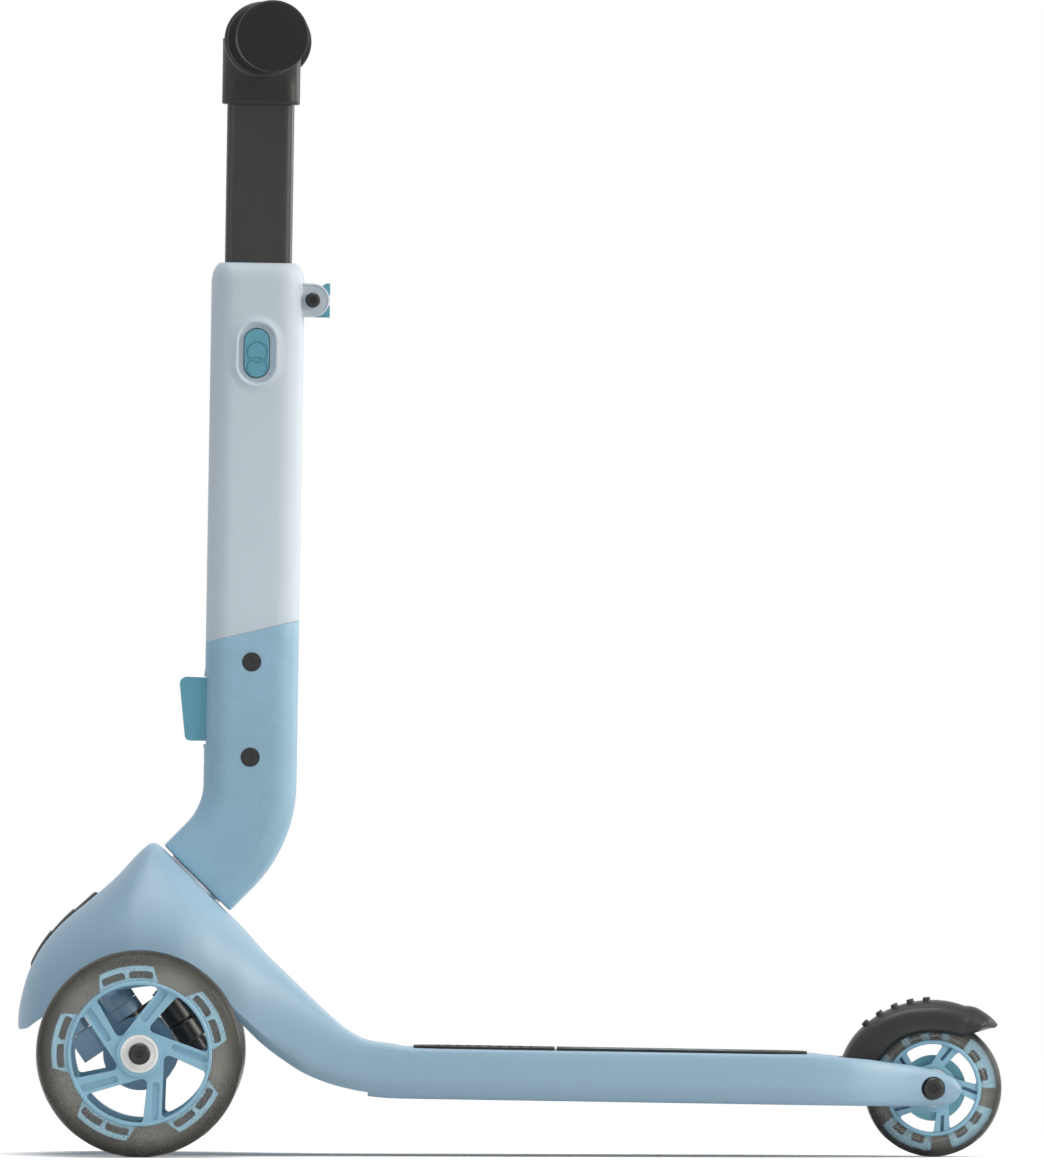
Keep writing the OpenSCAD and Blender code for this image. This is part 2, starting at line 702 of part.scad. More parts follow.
module tyre_rear() {
    color(tyre_grey) in_frame() at_rear_wheel() difference() {
        rotate_extrude($fn = 96)
            polygon(tyre_section(rear_rim_d / 2, rear_r, wheel_w));
        translate([0, 0, -pad_t / 2]) linear_extrude(pad_t) rear_pads();
    }
}

module bearings_rear() { color("white") in_frame() at_rear_wheel() bearing_pair(); }
module wheel_spacer_rear() { color(steel) in_frame() at_rear_wheel() bearing_spacer(); }

// Axles

// Domed button head with a hexagon socket, outer face at z = 0
module socket_head(r, h, key) {
    dome = 0.35 * h;
    difference() {
        union() {
            translate([0, 0, -h]) cylinder(r = r, h = h - dome + eps);
            translate([0, 0, -dome]) cylinder(r1 = r, r2 = r - dome, h = dome);
        }
        translate([0, 0, -0.6 * h]) cylinder(d = key * 2 / sqrt(3), h = h, $fn = 6);
    }
}

axle_head_r = 6.3;
axle_head_h = 3.8;
axle_grip = 16;
stub_face = track / 2 - wheel_w / 2;

module front_axle() {
    outer = track / 2 + wheel_w / 2;
    y_cylinder(axle_d / 2, stub_face - axle_grip, outer + 0.2 + eps);
    translate([0, outer + 0.2 + axle_head_h, 0]) rotate([-90, 0, 0])
        socket_head(axle_head_r, axle_head_h, 4.5);
}

module axle_left() { color(matte_black) in_frame() sided(-1) front_axle(); }
module axle_right() { color(matte_black) in_frame() sided(1) front_axle(); }

module rear_axle() {
    color(matte_black) in_frame() translate([rear_u, 0, rear_w]) {
        y_cylinder(axle_d / 2, -arm_face - eps, arm_face + 2);
        translate([0, -arm_face - 3.6, 0]) rotate([90, 0, 0])
            socket_head(bolt_head_r, 3.6, 5);
    }
}

module rear_axle_nut() {
    color(matte_black) in_frame() translate([rear_u, 0, rear_w]) difference() {
        translate([0, arm_face + 3.6, 0]) rotate([-90, 0, 0])
            socket_head(bolt_head_r, 3.6, 5);
        y_cylinder(axle_d / 2, arm_face - 1, arm_face + 2);
    }
}

module rear_spacers() {
    color(steel) in_frame() translate([rear_u, 0, rear_w])
        for (side = [-1, 1]) sided(side) difference() {
            y_cylinder(6.2, wheel_w / 2 + 0.1, fork_slot_w / 2);
            y_cylinder(axle_d / 2, 0, 40);
        }
}

// Steering

flange_r = 21.3;
flange_t = 2.5;
stub_nose = 1.8;
arm_low = 13;
arm_w = 12.5;
lever_z = 19.2;
lever_t = 2.3;
tie_pin_d = 6;
buffer_bolt_d = 6;

module knuckle() {
    arm_x = -steer_arm;
    difference() {
        union() {
            y_cylinder(flange_r, stub_face - stub_nose - flange_t, stub_face - stub_nose);
            y_cylinder(6.2, stub_face - stub_nose - eps, stub_face - 0.2);
            // Cone that stiffens the flange, down to the kingpin boss
            translate([0, kingpin_y + 4, 0]) rotate([-90, 0, 0])
                cylinder(r1 = 9.5, r2 = 17.5,
                    h = stub_face - stub_nose - flange_t - kingpin_y - 4 + eps);
            at_kingpin() {
                translate([0, 0, knuckle_foot])
                    cylinder(r = boss_r, h = split_h - seat - knuckle_foot);
                // Steering arm and the block that holds the tie rod pin
                translate([arm_x, -4.5, arm_low])
                    cube([steer_arm, 9, split_h - seat - arm_low]);
                translate([arm_x - arm_w / 2, -8, arm_low])
                    cube([arm_w, 16, split_h - seat - arm_low]);
            }
        }
        at_kingpin() {
            translate([0, 0, knuckle_foot - 1])
                cylinder(d = kingpin_d + 2 * run, h = 80);
            translate([arm_x, 0, 0]) cylinder(d = tie_pin_d, h = 60);
            // Slot for the buffer lever
            translate([-4, -20, lever_z - 0.1]) cube([60, 40, lever_t + 0.2]);
            translate([0, 0, lever_z - 0.1]) cylinder(r = boss_r + 0.2, h = lever_t + 0.2);
        }
        y_cylinder(axle_d / 2, stub_face - axle_grip, stub_face + 5);
    }
}

module lever_plate() {
    at_kingpin() translate([0, 0, lever_z]) difference() {
        union() {
            cylinder(r = boss_r, h = lever_t);
            translate([0, -6, 0]) cube([buffer_arm, 12, lever_t]);
            translate([buffer_arm, 0, 0]) cylinder(r = buffer_d / 2 - 1, h = lever_t);
        }
        translate([0, 0, -1]) cylinder(d = kingpin_d + 2 * run, h = lever_t + 2);
        translate([buffer_arm, 0, -1]) cylinder(d = buffer_bolt_d, h = lever_t + 2);
    }
}

// Two rubber barrels, each with a rounded rim, one above the other under the lever
buffer_low = -11.6;
buffer_groove = 1.2;
function barrel_section(h) =
    let (r = buffer_d / 2, c = 1.2)
    [[buffer_bolt_d / 2, 0], [r - c, 0], [r - 0.35 * c, 0.35 * c], [r, c],
     [r, h - c], [r - 0.35 * c, h - 0.35 * c], [r - c, h], [buffer_bolt_d / 2, h]];
module buffers() {
    at_kingpin() translate([buffer_arm, 0, 0]) {
        translate([0, 0, buffer_groove])
            rotate_extrude() polygon(barrel_section(lever_z - buffer_groove));
        translate([0, 0, buffer_low])
            rotate_extrude() polygon(barrel_section(buffer_groove - buffer_low));
    }
}

module buffer_bolt() {
    at_kingpin() translate([buffer_arm, 0, 0]) {
        translate([0, 0, buffer_low - 7]) cylinder(r = 5, h = 7);
        translate([0, 0, buffer_low - eps])
            cylinder(d = buffer_bolt_d, h = lever_z + lever_t - buffer_low + 2 * eps);
        translate([0, 0, lever_z + lever_t]) cylinder(r = 5.5, h = 2.5);
    }
}

module tie_pin() {
    at_kingpin() translate([-steer_arm, 0, 0]) {
        translate([0, 0, arm_low]) cylinder(d = tie_pin_d, h = tie_high + seat + 0.2 - arm_low);
        translate([0, 0, tie_high + seat]) cylinder(r = 4.8, h = 2.6);
    }
}

tie_low = split_h + 0.3;
tie_high = 36.5;
module tie_rod() {
    color(body_blue) in_frame() in_rake()
        translate([kingpin_offset - steer_arm, 0, tie_low]) difference() {
            union() {
                translate([-arm_w / 2, -kingpin_y, 0])
                    cube([arm_w, 2 * kingpin_y, tie_high - tie_low]);
                for (s = [-1, 1]) translate([0, s * kingpin_y, 0])
                    cylinder(d = arm_w, h = tie_high - tie_low);
            }
            for (s = [-1, 1]) translate([0, s * kingpin_y, -1])
                cylinder(d = tie_pin_d + 2 * run, h = 20);
            // Channel that lightens the bar between its eyes
            translate([-arm_w / 2 + 3, -kingpin_y + 12, 3])
                cube([arm_w - 6, 2 * kingpin_y - 24, 20]);
        }
}

module knuckle_left() { color(body_blue) in_frame() sided(-1) knuckle(); }
module knuckle_right() { color(body_blue) in_frame() sided(1) knuckle(); }
module lever_plate_left() { color(matte_black) in_frame() sided(-1) lever_plate(); }
module lever_plate_right() { color(matte_black) in_frame() sided(1) lever_plate(); }
module buffers_left() { color(matte_black) in_frame() sided(-1) buffers(); }
module buffers_right() { color(matte_black) in_frame() sided(1) buffers(); }
module buffer_bolt_left() { color(matte_black) in_frame() sided(-1) buffer_bolt(); }
module buffer_bolt_right() { color(matte_black) in_frame() sided(1) buffer_bolt(); }
module tie_pin_left() { color(steel) in_frame() sided(-1) tie_pin(); }
module tie_pin_right() { color(steel) in_frame() sided(1) tie_pin(); }

// Brake fender, lofted round the rear axle: angle, crown radius, shoulder radius,
// skirt crease radius, skirt edge radius, half width. Radii are beyond the tyre's.
fender_half = fork_slot_w / 2 - 0.8;
fender_t = 2.6;
crown_h = 11.2;
fender_rows = [
    [45, 12.7, 12.0, 11.2, 10.8, 0.52], [48, 13.1, 11.2, 9.2, 8.4, 0.66],
    [54, 13.3, 9.0, 4.0, 1.8, 0.84], [62, 13.1, 7.4, 0.8, -4.0, 0.96],
    [66, 12.4, 7.0, 0.4, -4.8, 0.99], [71, crown_h, 7.0, 0.5, -5.4, 1],
    [82, crown_h, 7.1, 0.8, -6.0, 1], [95, crown_h, 7.3, 1.0, -6.1, 1],
    [110, 11.8, 8.3, 1.3, -5.6, 1], [125, 12.8, 9.9, 1.5, -4.8, 1],
    [138, 14.0, 11.3, 2.0, -4.4, 1], [148, 15.0, 12.2, 2.5, -4.1, 1],
    [157, 15.5, 13.0, 3.4, -3.0, 1], [164, 15.8, 13.5, 4.5, -1.5, 1]];

function fender_ring(row) =
    let (h = fender_half * row[5], t = fender_t,
         thin = min(t, 0.8 * (row[1] - row[4]) / 2 + 0.2),
         outer = [[row[1], 0], [row[1] - 0.2, 0.28], [row[1] - 1.1, 0.52],
             [row[2], 0.78], [(row[2] + row[3]) / 2 + 0.7, 0.93], [row[3], 1], [row[4], 1]],
         side_a = [for (p = outer) [p[0], p[1] * h]],
         inner = [[row[4], h - thin], [row[3] - 0.3 * thin, h - thin],
             [min(row[2], row[1] - 0.5) - thin, 0.7 * h], [row[1] - thin, 0.3 * h],
             [row[1] - thin, 0]],
         half = concat(side_a, inner), n = len(half),
         all = concat(half, [for (i = [n - 2:-1:1]) [half[i][0], -half[i][1]]]))
    [for (p = all) let (r = rear_r + p[0])
        [r * cos(row[0]), p[1], r * sin(row[0])]];

// The ring is an arch with 12 points a side, so its ends are cut into convex faces
fender_end_half = [[0, 1, 10, 11], [1, 2, 9, 10], [2, 3, 9], [3, 4, 8, 9], [4, 5, 8], [5, 6, 7, 8]];
fender_ends = concat(fender_end_half,
    [for (f = fender_end_half) [for (i = [len(f) - 1:-1:0]) (22 - f[i]) % 22]]);

stud_angles = [137, 126.5, 116, 105.5, 95];
fender_lug_r = 4.6;
module brake_fender() {
    color(matte_black) in_frame() difference() {
        union() {
            translate([rear_u, 0, rear_w]) {
                loft([for (row = fender_rows) fender_ring(row)], fender_ends);
                // Studs in rows across the crown
                for (a = stud_angles, y = [-6.5, 0, 6.5])
                    rotate([0, -a, 0]) translate([rear_r + stud_seat(a), y, 0])
                        rotate([0, 90, 0]) cylinder(d1 = 4.4, d2 = 3.4, h = 3.2, $fn = 24);
            }
            // Hinge lugs that reach down into the slot, each webbed to its skirt
            translate([fender_u, 0, fender_w]) for (side = [-1, 1]) sided(side) {
                y_cylinder(fender_lug_r, 8, fender_half - 0.4);
                translate([0, fender_half - 1.2, 0]) rotate([90, 0, 0])
                    linear_extrude(fender_t + 0.3)
                        polygon([[-4.3, 0], [4.3, 0], [6.1, 8.3], [0.2, 7.1]]);
            }
        }
        translate([fender_u, 0, fender_w])
            y_cylinder(fender_pin_d / 2 + run, -30, 30);
    }
}
function stud_seat(a) = lookup(a, [for (row = fender_rows) [row[0], row[1]]]) - 1.6;

plate_t = 1.5;
plate_half = 5.2;
module brake_plate() {
    color(steel) in_frame() translate([rear_u, 0, rear_w]) rotate([90, 0, 0])
        translate([0, 0, -plate_half]) rotate(78) rotate_extrude(angle = 22)
            translate([rear_r + crown_h - fender_t - 0.7 - plate_t, 0])
                square([plate_t, 2 * plate_half]);
}

fender_pin_half = 24;
module fender_pin() {
    color(steel) in_frame() translate([fender_u, 0, fender_w])
        y_cylinder(fender_pin_d / 2, -fender_pin_half, fender_pin_half);
}

// Torsion spring round the pin: its coil is one sleeve, its leg lies under the crown
spring_wire = 1.2;
module fender_spring() {
    coil_r = fender_pin_d / 2 + 0.1;
    color(steel) in_frame() translate([fender_u, 0, fender_w]) {
        difference() {
            y_cylinder(coil_r + spring_wire + 0.1, -7.6, 7.6);
            y_cylinder(coil_r, -10, 10);
        }
        translate([0, 5, 0]) rotate([0, 8, 0])
            translate([coil_r + spring_wire / 2 + 0.1, 0, 0])
                cylinder(d = spring_wire, h = 14, $fn = 16);
    }
}

// Column

column_r = 14;
sleeve_inner_r = column_r - column_wall;
module column_outline(grow = 0) {
    rounded_rect(column_depth + 2 * grow, column_w + 2 * grow, column_r + grow);
}

// The seam climbs to the rear
seam_angle = 14;
seam_w = seam_height;
module above_seam(up) {
    translate([column_u, 0, seam_w]) rotate([0, -seam_angle, 0])
        translate([-100, -100, up ? 0 : -400]) cube([200, 200, 400]);
}

socket_floor = bend_height + 8.4;

lever_bottom = bend_height + 24.4;
lever_top = lever_bottom + 37;
lever_half = 13;
lever_pivot_u = column_u - column_depth / 2 + 4.2;
lever_pivot_w = lever_top - 5.5;
lever_pin_d = 3;

// The bend proper. The straights run a little way into it, set in by a hair, so that
// their walls and its walls never lie in one surface.
hair = 0.05;
run_in = 1;
module bend(grow) {
    translate([0, 0, bend_height]) rotate([90, 0, 0]) rotate([0, 0, -swivel_slope])
        rotate_extrude(angle = swivel_slope) translate([bend_r, 0]) column_outline(grow);
}

// Straight above the bend, from the bend up to a height
module upper_straight(grow, top) {
    at_column() translate([0, 0, bend_height - run_in])
        linear_extrude(top - bend_height + run_in) column_outline(grow - hair);
}

// Straight below the bend, from a height above the swivel face
module lower_straight(grow, foot) {
    at_swivel() translate([0, 0, foot]) linear_extrude(elbow_tail - foot + run_in)
        column_outline(grow - hair);
}

// Raised collar round the lever's window. It follows the column's round corners.
collar_rise = 0.6;
collar_edge = 5;
module lever_collar() {
    intersection() {
        at_column() translate([0, 0, lever_bottom - 2 * collar_edge])
            linear_extrude(lever_top - lever_bottom + 4 * collar_edge)
                column_outline(collar_rise);
        translate([column_u - column_depth / 2 - 2, 0, (lever_top + lever_bottom) / 2])
            rotate([90, 0, 90]) linear_extrude(10)
                rounded_rect(2 * (lever_half + collar_edge),
                    lever_top - lever_bottom + 2 * collar_edge, 4);
    }
}

module elbow() {
    color(elbow_blue) in_frame() difference() {
        union() {
            intersection() {
                upper_straight(0, seam_height + 20);
                above_seam(false);
            }
            bend(0);
            lower_straight(0, 0);
            lever_collar();
        }
        upper_straight(-column_wall, seam_height + 30);
        bend(-column_wall);
        lower_straight(-column_wall, elbow_floor);
        lever_window();
        at_swivel() translate([0, 0, -10]) cylinder(d = swivel_bolt_d + 2 * run, h = 40);
        at_swivel() translate([-lock_track_r, 0, -10])
            cylinder(d = lock_pin_d + 2 * run, h = 40);
        column_bolt_holes();
        lever_pin_hole();
    }
}

module lever_pin_hole() {
    translate([lever_pivot_u, 0, lever_pivot_w])
        y_cylinder(lever_pin_d / 2, -lever_half - 5, lever_half + 5);
}

module lever_window() {
    translate([column_u - column_depth / 2 - 5, -lever_half - seat, lever_bottom - 2])
        cube([16, 2 * lever_half + 2 * seat, lever_top - lever_bottom + 2 + seat]);
}

// Two bolts across hold the column in the elbow
column_bolt_w = [seam_height - 17.7, bend_height + 15.4];
column_bolt_d = 6;
column_bolt_head_r = 5.3;
column_bolt_recess = 1.4;
module column_bolt_holes() {
    for (w = column_bolt_w) translate([column_u, 0, w]) {
        y_cylinder(column_bolt_d / 2, -60, 60);
        for (side = [-1, 1]) sided(side)
            y_cylinder(column_bolt_head_r + 0.2, column_w / 2 - column_bolt_recess, 60);
    }
}

module column_bolts() {
    color(matte_black) in_frame() for (w = column_bolt_w) translate([column_u, 0, w]) {
        y_cylinder(column_bolt_d / 2, -column_w / 2, column_w / 2);
        for (side = [-1, 1]) sided(side) difference() {
            y_cylinder(column_bolt_head_r, column_w / 2 - column_bolt_recess,
                column_w / 2 + 0.3);
            translate([0, column_w / 2 - 0.6, 0]) rotate([-90, 0, 0])
                cylinder(d = 3.2, h = 5, $fn = 6);
        }
    }
}

// White sleeve: full outline above the seam, a spigot inside the elbow below it
shoulder_h = 12;
shoulder_in = 6.2;
channel_gap = 0.3;
spigot_gap = 0.1;

// Side or front outline of the sleeve's top, with elliptical shoulders
module shoulder_outline(width) {
    polygon(concat([[-width / 2, 0], [width / 2, 0]],
        [for (i = [0:6]) let (a = 90 * i / 6)
            [width / 2 - shoulder_in + shoulder_in * cos(a),
             column_top - shoulder_h + shoulder_h * sin(a)]],
        [for (i = [6:-1:0]) let (a = 90 * i / 6)
            [-width / 2 + shoulder_in - shoulder_in * cos(a),
             column_top - shoulder_h + shoulder_h * sin(a)]]));
}

button_w = 406.5;
button_size = [28, 14.4];
bezel_outer = [39.8, 25.4];
bezel_inner = [34.2, 20.5];
bezel_rise = 1.3;
bezel_depth = 1.5;
button_proud = 1.0;
button_travel = 2.5;
stem_d = 7;

// Draws on the near side face, X along the column's height, Z outwards
module at_button() {
    translate([column_u, -column_w / 2, button_w]) rotate([0, -90, 0])
        rotate([90, 0, 0]) children();
}

ear_r = 9.8;
clip_u = column_u + column_depth / 2 + 5;
clip_w = 437.8;
clip_half = 8.6;
ear_t = 3.6;
clip_bolt_d = 5;
bushing_low = button_w - 26;
lip_h = 5;

module column_sleeve() {
    color(column_white) in_frame() difference() {
        union() {
            intersection() {
                at_column() linear_extrude(column_top) column_outline();
                at_column() translate([0, 100, 0]) rotate([90, 0, 0])
                    linear_extrude(200) shoulder_outline(column_depth);
                at_column() translate([-100, 0, 0]) rotate([90, 0, 90])
                    linear_extrude(200) shoulder_outline(column_w);
                above_seam(true);
            }
            at_column() translate([0, 0, socket_floor])
                linear_extrude(seam_height + 20 - socket_floor)
                    column_outline(-column_wall - spigot_gap);
            at_button() translate([0, 0, -1]) linear_extrude(1 + bezel_rise)
                stadium(bezel_outer[0], bezel_outer[1]);
            for (side = [-1, 1]) sided(side) clip_ear();
        }
        // Room for the telescoping tube, wider above for the guide bushing
        at_column() translate([0, 0, socket_floor - 1])
            linear_extrude(column_top)
                rounded_rect(tube_depth + 2 * channel_gap, tube_w + 2 * channel_gap, 6.3);
        at_column() translate([0, 0, bushing_low])
            linear_extrude(column_top - lip_h - bushing_low)
                column_outline(-column_wall);
        at_button() {
            translate([0, 0, -bezel_depth]) linear_extrude(20)
                stadium(bezel_inner[0], bezel_inner[1]);
            translate([0, 0, -10]) linear_extrude(20)
                stadium(button_size[0] + 2 * seat, button_size[1] + 2 * seat);
        }
        translate([clip_u, 0, clip_w]) y_cylinder(clip_bolt_d / 2, -30, 30);
        column_bolt_holes();
        lever_window();
        lever_pin_hole();
        // Way for the lever's arm and pull link inside the spigot
        translate([column_u - tube_depth / 2 - 4, -5, socket_floor - 1]) cube([8, 10, 60]);
    }
}

module clip_ear() {
    translate([clip_u, clip_half + seat, clip_w]) {
        y_cylinder(ear_r, 0, ear_t);
        translate([-8, 0, -ear_r]) cube([8, ear_t, 2 * ear_r]);
    }
}

// Lines the sleeve's top and guides the tube
module guide_bushing() {
    h = column_top - lip_h - bushing_low - 0.2;
    color(matte_black) in_frame() difference() {
        at_column() translate([0, 0, bushing_low + 0.1]) linear_extrude(h) difference() {
            column_outline(-column_wall - spigot_gap);
            rounded_rect(tube_depth + 2 * channel_gap, tube_w + 2 * channel_gap, 6.3);
        }
        at_button() translate([0, 0, -column_wall - 2.7]) linear_extrude(10)
            stadium(button_size[0] + 2 * seat, button_size[1] + 2 * seat);
        at_button() translate([0, 0, -12]) cylinder(d = stem_d + 2 * seat, h = 12);
    }
}

module height_button() {
    color(teal) in_frame() at_button() difference() {
        union() {
            translate([0, 0, -column_wall - 0.1])
                linear_extrude(column_wall + 0.1 + button_proud)
                    stadium(button_size[0], button_size[1]);
            translate([0, 0, -(column_w - tube_w) / 2 + 0.3])
                cylinder(d = stem_d, h = (column_w - tube_w) / 2 - 0.3 - column_wall);
        }
        // Two crescent finger marks
        for (x = [-4.5, 4.5]) translate([x - 4, 0, button_proud - 0.4])
            rotate_extrude() translate([5.2, 0]) square([1.2, 2]);
    }
}

// Rear clip between its ears, with a slot through its rear face
clip_slot = 5.8;
module rear_clip() {
    reach = ear_r + 0.1;
    color(teal) in_frame() translate([clip_u, 0, clip_w]) difference() {
        union() {
            y_cylinder(4.4, -clip_half, clip_half);
            rotate([90, 0, 0]) translate([0, 0, -clip_half]) linear_extrude(2 * clip_half)
                polygon([[-1.2, 4.1], [3.2, 6.9], [7.6, reach], [reach, reach],
                    [reach, -reach], [0, -reach], [-1.2, -4.1]]);
        }
        y_cylinder(clip_bolt_d / 2 + run, -20, 20);
        translate([5.2, -20, -clip_slot / 2]) cube([20, 40, clip_slot]);
    }
}

module clip_bolt() {
    outer = clip_half + seat + ear_t;
    color(matte_black) in_frame() translate([clip_u, 0, clip_w]) {
        y_cylinder(clip_bolt_d / 2, -outer - eps, outer + eps);
        translate([0, -outer - 3, 0]) rotate([90, 0, 0]) socket_head(4.35, 3, 3.8);
        translate([0, outer, 0]) rotate([-90, 0, 0]) cylinder(r = 4.35, h = 3, $fn = 6);
    }
}

// Fold lever: presses in at the bottom, turns on a pin at the top, and its forked inner
// arm lifts the lock pin through a pull link
lever_front_top = 15.1;
lever_front_bottom = 11.0;
lever_arm = 12;
lever_peg_r = 1.4;
lever_fork_in = 1.6;
lever_fork_out = 3.6;
lever_spring_y = [5, 10];
module fold_lever() {
    front = column_u - column_depth / 2;
    color(teal) in_frame() difference() {
        union() {
            rotate([90, 0, 0]) translate([0, 0, -lever_half]) linear_extrude(2 * lever_half)
                polygon(concat(
                    [[lever_pivot_u + 2.2, lever_top - 0.4], [lever_pivot_u + 2.6, lever_pivot_w]],
                    [[front + 0.6, lever_bottom]],
                    corner_arc([front, lever_bottom],
                        [front - lever_front_bottom, lever_bottom],
                        [front - lever_front_top, lever_top], 3.2),
                    corner_arc([front - lever_front_bottom, lever_bottom],
                        [front - lever_front_top, lever_top], [front, lever_top], 3.9)));
            for (side = [-1, 1]) sided(side)
                translate([lever_pivot_u, lever_fork_in, lever_pivot_w - 2])
                    cube([lever_arm + 2, lever_fork_out - lever_fork_in, 4]);
            translate([lever_pivot_u + lever_arm, 0, lever_pivot_w])
                y_cylinder(lever_peg_r, -lever_fork_out, lever_fork_out);
        }
        translate([lever_pivot_u, 0, lever_pivot_w]) {
            y_cylinder(lever_pin_d / 2 + run, -20, 20);
            // Pocket for the return spring, open to the rear
            y_cylinder(lever_spring_r + seat, lever_spring_y[0], lever_spring_y[1]);
            translate([0, lever_spring_y[0], -lever_spring_r - seat])
                cube([10, lever_spring_y[1] - lever_spring_y[0],
                    2 * lever_spring_r + 2 * seat]);
        }
    }
}

module lever_pin() {
    color(steel) in_frame() lever_pin_hole();
}

// Return spring, wound round the lever pin beside the inner arm
lever_spring_r = lever_pin_d / 2 + 1.1;
module lever_spring() {
    color(steel) in_frame() translate([lever_pivot_u, 0, lever_pivot_w])
        difference() {
            y_cylinder(lever_spring_r, lever_spring_y[0] + seat, lever_spring_y[1] - seat);
            y_cylinder(lever_pin_d / 2 + 0.02, 0, 20);
        }
}

// Lock pin in the elbow's floor, with the collar that its link lifts
lock_collar_h = 3;
module lock_pin() {
    color(steel) in_frame() at_swivel() translate([-lock_track_r, 0, 0]) {
        translate([0, 0, -lock_bite])
            cylinder(d = lock_pin_d, h = lock_bite + elbow_floor + 12);
        translate([0, 0, elbow_floor + seat]) cylinder(d = lock_collar_d, h = lock_collar_h);
    }
}

// Flat link from the lock pin up to the lever's peg. Its slotted eye takes up the
// difference between the pin's slanted way and the peg's arc.
link_t = 1.6;
link_half = 1.8;
link_foot_z = elbow_floor + seat + lock_collar_h;
link_points = [[swivel_u - lock_track_r * cos(swivel_slope)
        + (link_foot_z + 1) * sin(swivel_slope),
        swivel_w + lock_track_r * sin(swivel_slope) + (link_foot_z + 1) * cos(swivel_slope)],
    [column_u - 17, bend_height + 8], [column_u - 12, lever_pivot_w - 8],
    [lever_pivot_u + lever_arm - 0.8, lever_pivot_w + 0.3]];

module link_stretch(p, q) {
    side = link_half * [-unit(q - p).y, unit(q - p).x];
    polygon([p - side, q - side, q + side, p + side]);
}

module pull_link() {
    last = len(link_points) - 1;
    color(steel) in_frame() difference() {
        union() {
            at_swivel() translate([-lock_track_r, 0, link_foot_z]) cylinder(d = 8, h = 2);
            for (i = [0:last - 1]) rotate([90, 0, 0]) translate([0, 0, -link_t / 2])
                linear_extrude(link_t) link_stretch(link_points[i], link_points[i + 1]);
            for (i = [1:last - 1]) translate([link_points[i].x, 0, link_points[i].y])
                y_cylinder(link_half, -link_t / 2, link_t / 2);
            translate([link_points[last].x, 0, link_points[last].y])
                y_cylinder(4.8, -link_t / 2, link_t / 2);
        }
        at_swivel() translate([-lock_track_r, 0, link_foot_z - 10])
            cylinder(d = lock_pin_d, h = 20);
        translate([link_points[last].x, 0, link_points[last].y]) rotate([90, 0, 0])
            translate([0, 0, -5]) linear_extrude(10)
                stadium(2 * lever_peg_r + 2.6, 2 * lever_peg_r + 1.4);
    }
}

// Telescoping bar

tube_low = column_top - 175;
junction_low = bar_height - 37.2;
junction_r = 22.3;
junction_half = 33;
bar_u = column_u + 0.6;
hole_d = 8;

module bar_tube() {
    color(tube_grey) in_frame() difference() {
        at_column() translate([0, 0, tube_low])
            linear_extrude(bar_height - tube_low) rounded_rect(tube_depth, tube_w, 6);
        at_column() translate([0, 0, tube_low - 1])
            linear_extrude(bar_height - tube_low + 2)
                rounded_rect(tube_depth - 2 * tube_wall, tube_w - 2 * tube_wall, 4);
        for (k = [0:2]) translate([column_u, 0, button_w - k * height_step])
            y_cylinder(hole_d / 2, -tube_w, 0);
        translate([bar_u, 0, bar_height])
            y_cylinder(bar_core_d / 2 + 0.2, -60, 60);
    }
}

module bar_junction() {
    depth = 45.2;
    color(matte_black) in_frame() difference() {
        union() {
            translate([column_u, 0, junction_low]) linear_extrude(bar_height - junction_low)
                rounded_rect(depth, tube_w + 6, 8);
            translate([bar_u, 0, bar_height]) {
                y_cylinder(junction_r, -junction_half + 3, junction_half - 3);
                for (side = [-1, 1]) sided(side) {
                    translate([0, junction_half - 3 - eps, 0]) rotate([-90, 0, 0])
                        cylinder(r1 = junction_r, r2 = junction_r - 1.4, h = 1.5);
                    y_cylinder(junction_r - 2.4, junction_half - 3, junction_half);
                }
            }
        }
        at_column() translate([0, 0, junction_low - 1])
            linear_extrude(bar_height - junction_low + 1) rounded_rect(tube_depth, tube_w, 6);
        translate([bar_u, 0, bar_height]) y_cylinder(bar_core_d / 2, -60, 60);
    }
}

// Handlebar core: straight through the junction, bent back, then straight in the grips
bend_y = 34;
bar_bend_r = 60;
bar_bend_y = bend_y + bar_bend_r * sin(bar_sweep);
bar_bend_x = bar_bend_r * (1 - cos(bar_sweep));
bar_rise = 0.6;
grip_len = (bar_w / 2 - bar_bend_y) / cos(bar_sweep);

// Frame at the start of a grip, Y along it
module bar_end() {
    translate([bar_u + bar_bend_x, bar_bend_y, bar_height])
        rotate([bar_rise, 0, -bar_sweep]) children();
}

// Rod along the handlebar's line. Its straights run into the bends, set in by a hair.
module bar_rod(r, len_in_grip) {
    translate([bar_u, 0, bar_height]) y_cylinder(r, -bend_y, bend_y);
    for (side = [-1, 1]) sided(side) {
        translate([bar_u + bar_bend_r, bend_y, bar_height])
            rotate([0, 0, 180 - bar_sweep]) rotate_extrude(angle = bar_sweep + 1)
                translate([bar_bend_r, 0]) circle(r - hair);
        bar_end() y_cylinder(r - 2 * hair, -run_in, len_in_grip);
    }
}

module handlebar() {
    color(tube_grey) in_frame() difference() {
        bar_rod(bar_core_d / 2, grip_len - 8);
        bar_rod(bar_core_d / 2 - tube_wall, grip_len);
    }
}

